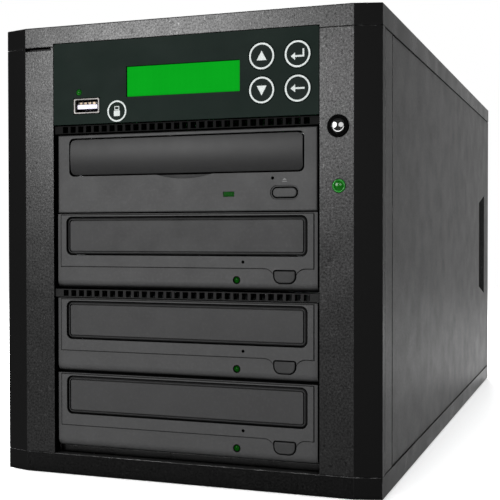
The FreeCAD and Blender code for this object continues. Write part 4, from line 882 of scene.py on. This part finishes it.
def make_fan_screws():
    """Four screws at the corners of each fan."""
    for fan, face in (("rear_fan_frame", REAR), ("psu_fan_frame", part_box("psu_case")[1].y)):
        spot = middle(fan)
        maker = bmesh.new()
        for across in (-FAN_HOLE, FAN_HOLE):
            for up in (-FAN_HOLE, FAN_HOLE):
                cross_screw(maker, spot.x + across, spot.z + up, face, 3 * MM, 1.5 * MM)
        to_object(fan + "_screws", maker, "screw_steel", "case")


make_knurls()
make_fan_screws()


# Disc tabs in the trays, the top drive's door and its eject mark

DOOR_BOW, DOOR_SETBACK, DOOR_CORNER = 52 * MM, 0.35 * MM, 2.8 * MM
DOOR_STEPS = 60
CREST_ANGLE = 9


def slab(maker, outline, low, high):
    """A closed solid: a flat outline (across, along) on the XY plane, from one height to another."""
    prism(maker, outline, low, high, Matrix(((1, 0, 0, 0), (0, 0, 1, 0), (0, 1, 0, 0), (0, 0, 0, 1))))


def make_disc_tabs():
    """Four small tabs that lean over the disc seat of each tray."""
    tab = rounded_points(60.2 * MM, 0, 5.6 * MM, 7 * MM, 2 * MM, 4)
    for number in DRIVES:
        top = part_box("drive_%d_tray" % number)[1].z
        hub = middle("drive_%d_spindle" % number)
        maker = bmesh.new()
        for turn in (45, 135, 225, 315):
            slab(maker, turned(tab, turn, hub.x, hub.y), top - 1 * MM, top - 0.05 * MM)
        to_object("drive_%d_disc_tabs" % number, maker, "tray_plastic", "tray_%d" % number)


def door_inset(near):
    """How far the door's side draws in at a distance from its top or foot, for round corners."""
    if near >= DOOR_CORNER:
        return 0
    return DOOR_CORNER - math.sqrt(max(DOOR_CORNER ** 2 - (DOOR_CORNER - near) ** 2, 0))


def make_bowed_door():
    """The top drive's door: its face bows forward above its middle and turns in toward its foot."""
    low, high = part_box("drive_1_tray_door")
    centre, tall = (low.x + high.x) / 2, high.z - low.z
    crest = high.z - DOOR_BOW * math.sin(math.radians(CREST_ANGLE))
    maker = bmesh.new()
    rows = []
    for step in range(DOOR_STEPS + 1):
        up = high.z - tall * step / DOOR_STEPS
        depth = low.y + DOOR_SETBACK + DOOR_BOW - math.sqrt(DOOR_BOW ** 2 - (up - crest) ** 2)
        half = (high.x - low.x) / 2 - door_inset(min(high.z - up, up - low.z))
        corners = ((centre - half, depth, up), (centre + half, depth, up),
                   (centre + half, high.y, up), (centre - half, high.y, up))
        rows.append([maker.verts.new(corner) for corner in corners])
    for row, after in zip(rows, rows[1:]):
        bridge(maker, row, after)
    maker.faces.new(rows[0])
    maker.faces.new(rows[-1])
    door = smooth(to_object("drive_1_bowed_door", maker, "door_satin", "tray_1"), 30)
    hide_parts("drive_1_tray_door")


def make_eject_mark():
    """A small plain triangle over a bar, above the top drive's button."""
    x, z = middle("drive_1_eject_button").x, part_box("drive_1_eject_button")[1].z + 2.8 * MM
    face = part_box("drive_1_bezel")[0].y
    maker = bmesh.new()
    stamp(maker, [(x - 1.3 * MM, z), (x + 1.3 * MM, z), (x, z + 1.3 * MM)], face=face)
    stamp(maker, rounded_points(x, z - 0.6 * MM, 2.6 * MM, 0.45 * MM, 0.1 * MM, 1), face=face)
    to_object("drive_1_eject_mark", maker, "print_grey", "case")


make_disc_tabs()
make_bowed_door()
make_eject_mark()


# Camera, from a fit to the photograph's edges and corners

FRAME_PIXELS = 500
FOCAL_PIXELS = 954.69
SENSOR_MM = 36
AXIS_PIXEL = 290
CAMERA_PLACE = (0.209964, -0.66758, 0.13036)
CAMERA_YAW, CAMERA_PITCH, CAMERA_ROLL = 18.477, -0.905, 0.02
NEAREST, FARTHEST = 0.01, 100


def make_camera():
    data = bpy.data.cameras.new("photo_camera")
    data.sensor_width = SENSOR_MM
    data.lens = FOCAL_PIXELS / FRAME_PIXELS * SENSOR_MM
    data.shift_x = -(AXIS_PIXEL - FRAME_PIXELS / 2) / FRAME_PIXELS
    data.clip_start = NEAREST
    data.clip_end = FARTHEST
    camera = bpy.data.objects.new("photo_camera", data)
    bpy.context.scene.collection.objects.link(camera)
    camera.location = CAMERA_PLACE
    camera.rotation_euler = [math.radians(angle) for angle in (90 + CAMERA_PITCH, CAMERA_ROLL, CAMERA_YAW)]
    bpy.context.scene.camera = camera


make_camera()


# Floor, background and lamps

SKY_TINT, SKY_LIGHT = (0.95, 0.97, 1, 1), 0.18
WHITE = (1, 1, 1, 1)
FLOOR_LIFT = 0.5
FLOOR_REACH, FADE_START, FADE_END = 9, 0.4, 1.7
FRONT_AIM = (0, FRONT, 0.15)


def background_share(tree):
    """1 for the rays that see the background: camera, glossy and transmission rays."""
    path = add(tree, "ShaderNodeLightPath").outputs
    seen = math_node(tree, "ADD", path["Is Camera Ray"], path["Is Glossy Ray"], True)
    return math_node(tree, "ADD", seen, path["Is Transmission Ray"], True)


def make_world():
    """A cool faint light on the object, and plain white where the background itself is seen."""
    world = bpy.data.worlds.new("studio")
    world.use_nodes = True
    bpy.context.scene.world = world
    tree = world.node_tree
    light = tree.nodes["Background"]
    light.inputs["Color"].default_value = SKY_TINT
    light.inputs["Strength"].default_value = SKY_LIGHT
    white = add(tree, "ShaderNodeBackground", {"Color": WHITE, "Strength": 1.0})
    chosen = add(tree, "ShaderNodeMixShader",
                 {0: background_share(tree), 1: light.outputs[0], 2: white.outputs[0]})
    tree.links.new(chosen.outputs[0], tree.nodes["World Output"].inputs["Surface"])


def make_floor():
    """A wide pale floor that keeps the object's shadow and fades into the white background."""
    maker = bmesh.new()
    lathe(maker, (0, 0, 0), (0, 0, 1), [(0, 0), (0.6, 0), (2, 0), (FLOOR_REACH, 0)], 96)
    floor = link_mesh("floor", maker)
    tree, shader, made = new_material("floor_pale")
    place = add(tree, "ShaderNodeTexCoord").outputs["Object"]
    away = add(tree, "ShaderNodeVectorMath", {0: place}, operation="LENGTH").outputs["Value"]
    far = ramp(tree, away, 0, 1, FADE_START, FADE_END)
    cloud = ramp(tree, noise(tree, 2, 3), 0, 1, 0.3, 0.7)
    pale = mixed(tree, cloud, grey(0.8), grey(0.82))
    plug(tree, shader, Base_Color=mixed(tree, far, pale, grey(0)), Roughness=0.8,
         Specular_IOR_Level=0.0, Emission_Color=WHITE)
    lift = math_node(tree, "MULTIPLY", background_share(tree), ramp(tree, far, FLOOR_LIFT, 1))
    tree.links.new(lift, shader.inputs["Emission Strength"])
    floor.data.materials.append(made)


def make_lamp(name, azimuth, elevation, distance, radius, irradiance, aim=(0, 0, 0.13)):
    """A round softbox at an azimuth from the front, negative to the left, in degrees.
    Irradiance is what it gives on a surface that faces it at the aim."""
    turn, rise = math.radians(azimuth), math.radians(elevation)
    away = Vector((math.sin(turn) * math.cos(rise), -math.cos(turn) * math.cos(rise), math.sin(rise)))
    data = bpy.data.lights.new(name, "AREA")
    data.shape = "DISK"
    data.size = radius * 2
    data.energy = irradiance * 4 * distance ** 2
    lamp = bpy.data.objects.new(name, data)
    bpy.context.scene.collection.objects.link(lamp)
    lamp.location = Vector(aim) + away * distance
    lamp.rotation_mode = "QUATERNION"
    lamp.rotation_quaternion = (-away).to_track_quat("-Z", "Y")


make_world()
make_floor()
make_lamp("front_left", -26, 11.5, 1.5, 0.23, 4.2, FRONT_AIM)
make_lamp("front_middle", -3, 11.5, 1.5, 0.2, 1.4, FRONT_AIM)
make_lamp("right_side", 82, 14, 1.8, 0.3, 1.5)
make_lamp("overhead", 0, 80, 1.6, 0.25, 1.3)
make_lamp("left_side", -100, 42, 1.8, 0.3, 2)
make_lamp("rear", -165, 42, 1.8, 0.35, 3)
bpy.context.scene.view_settings.view_transform = "Standard"
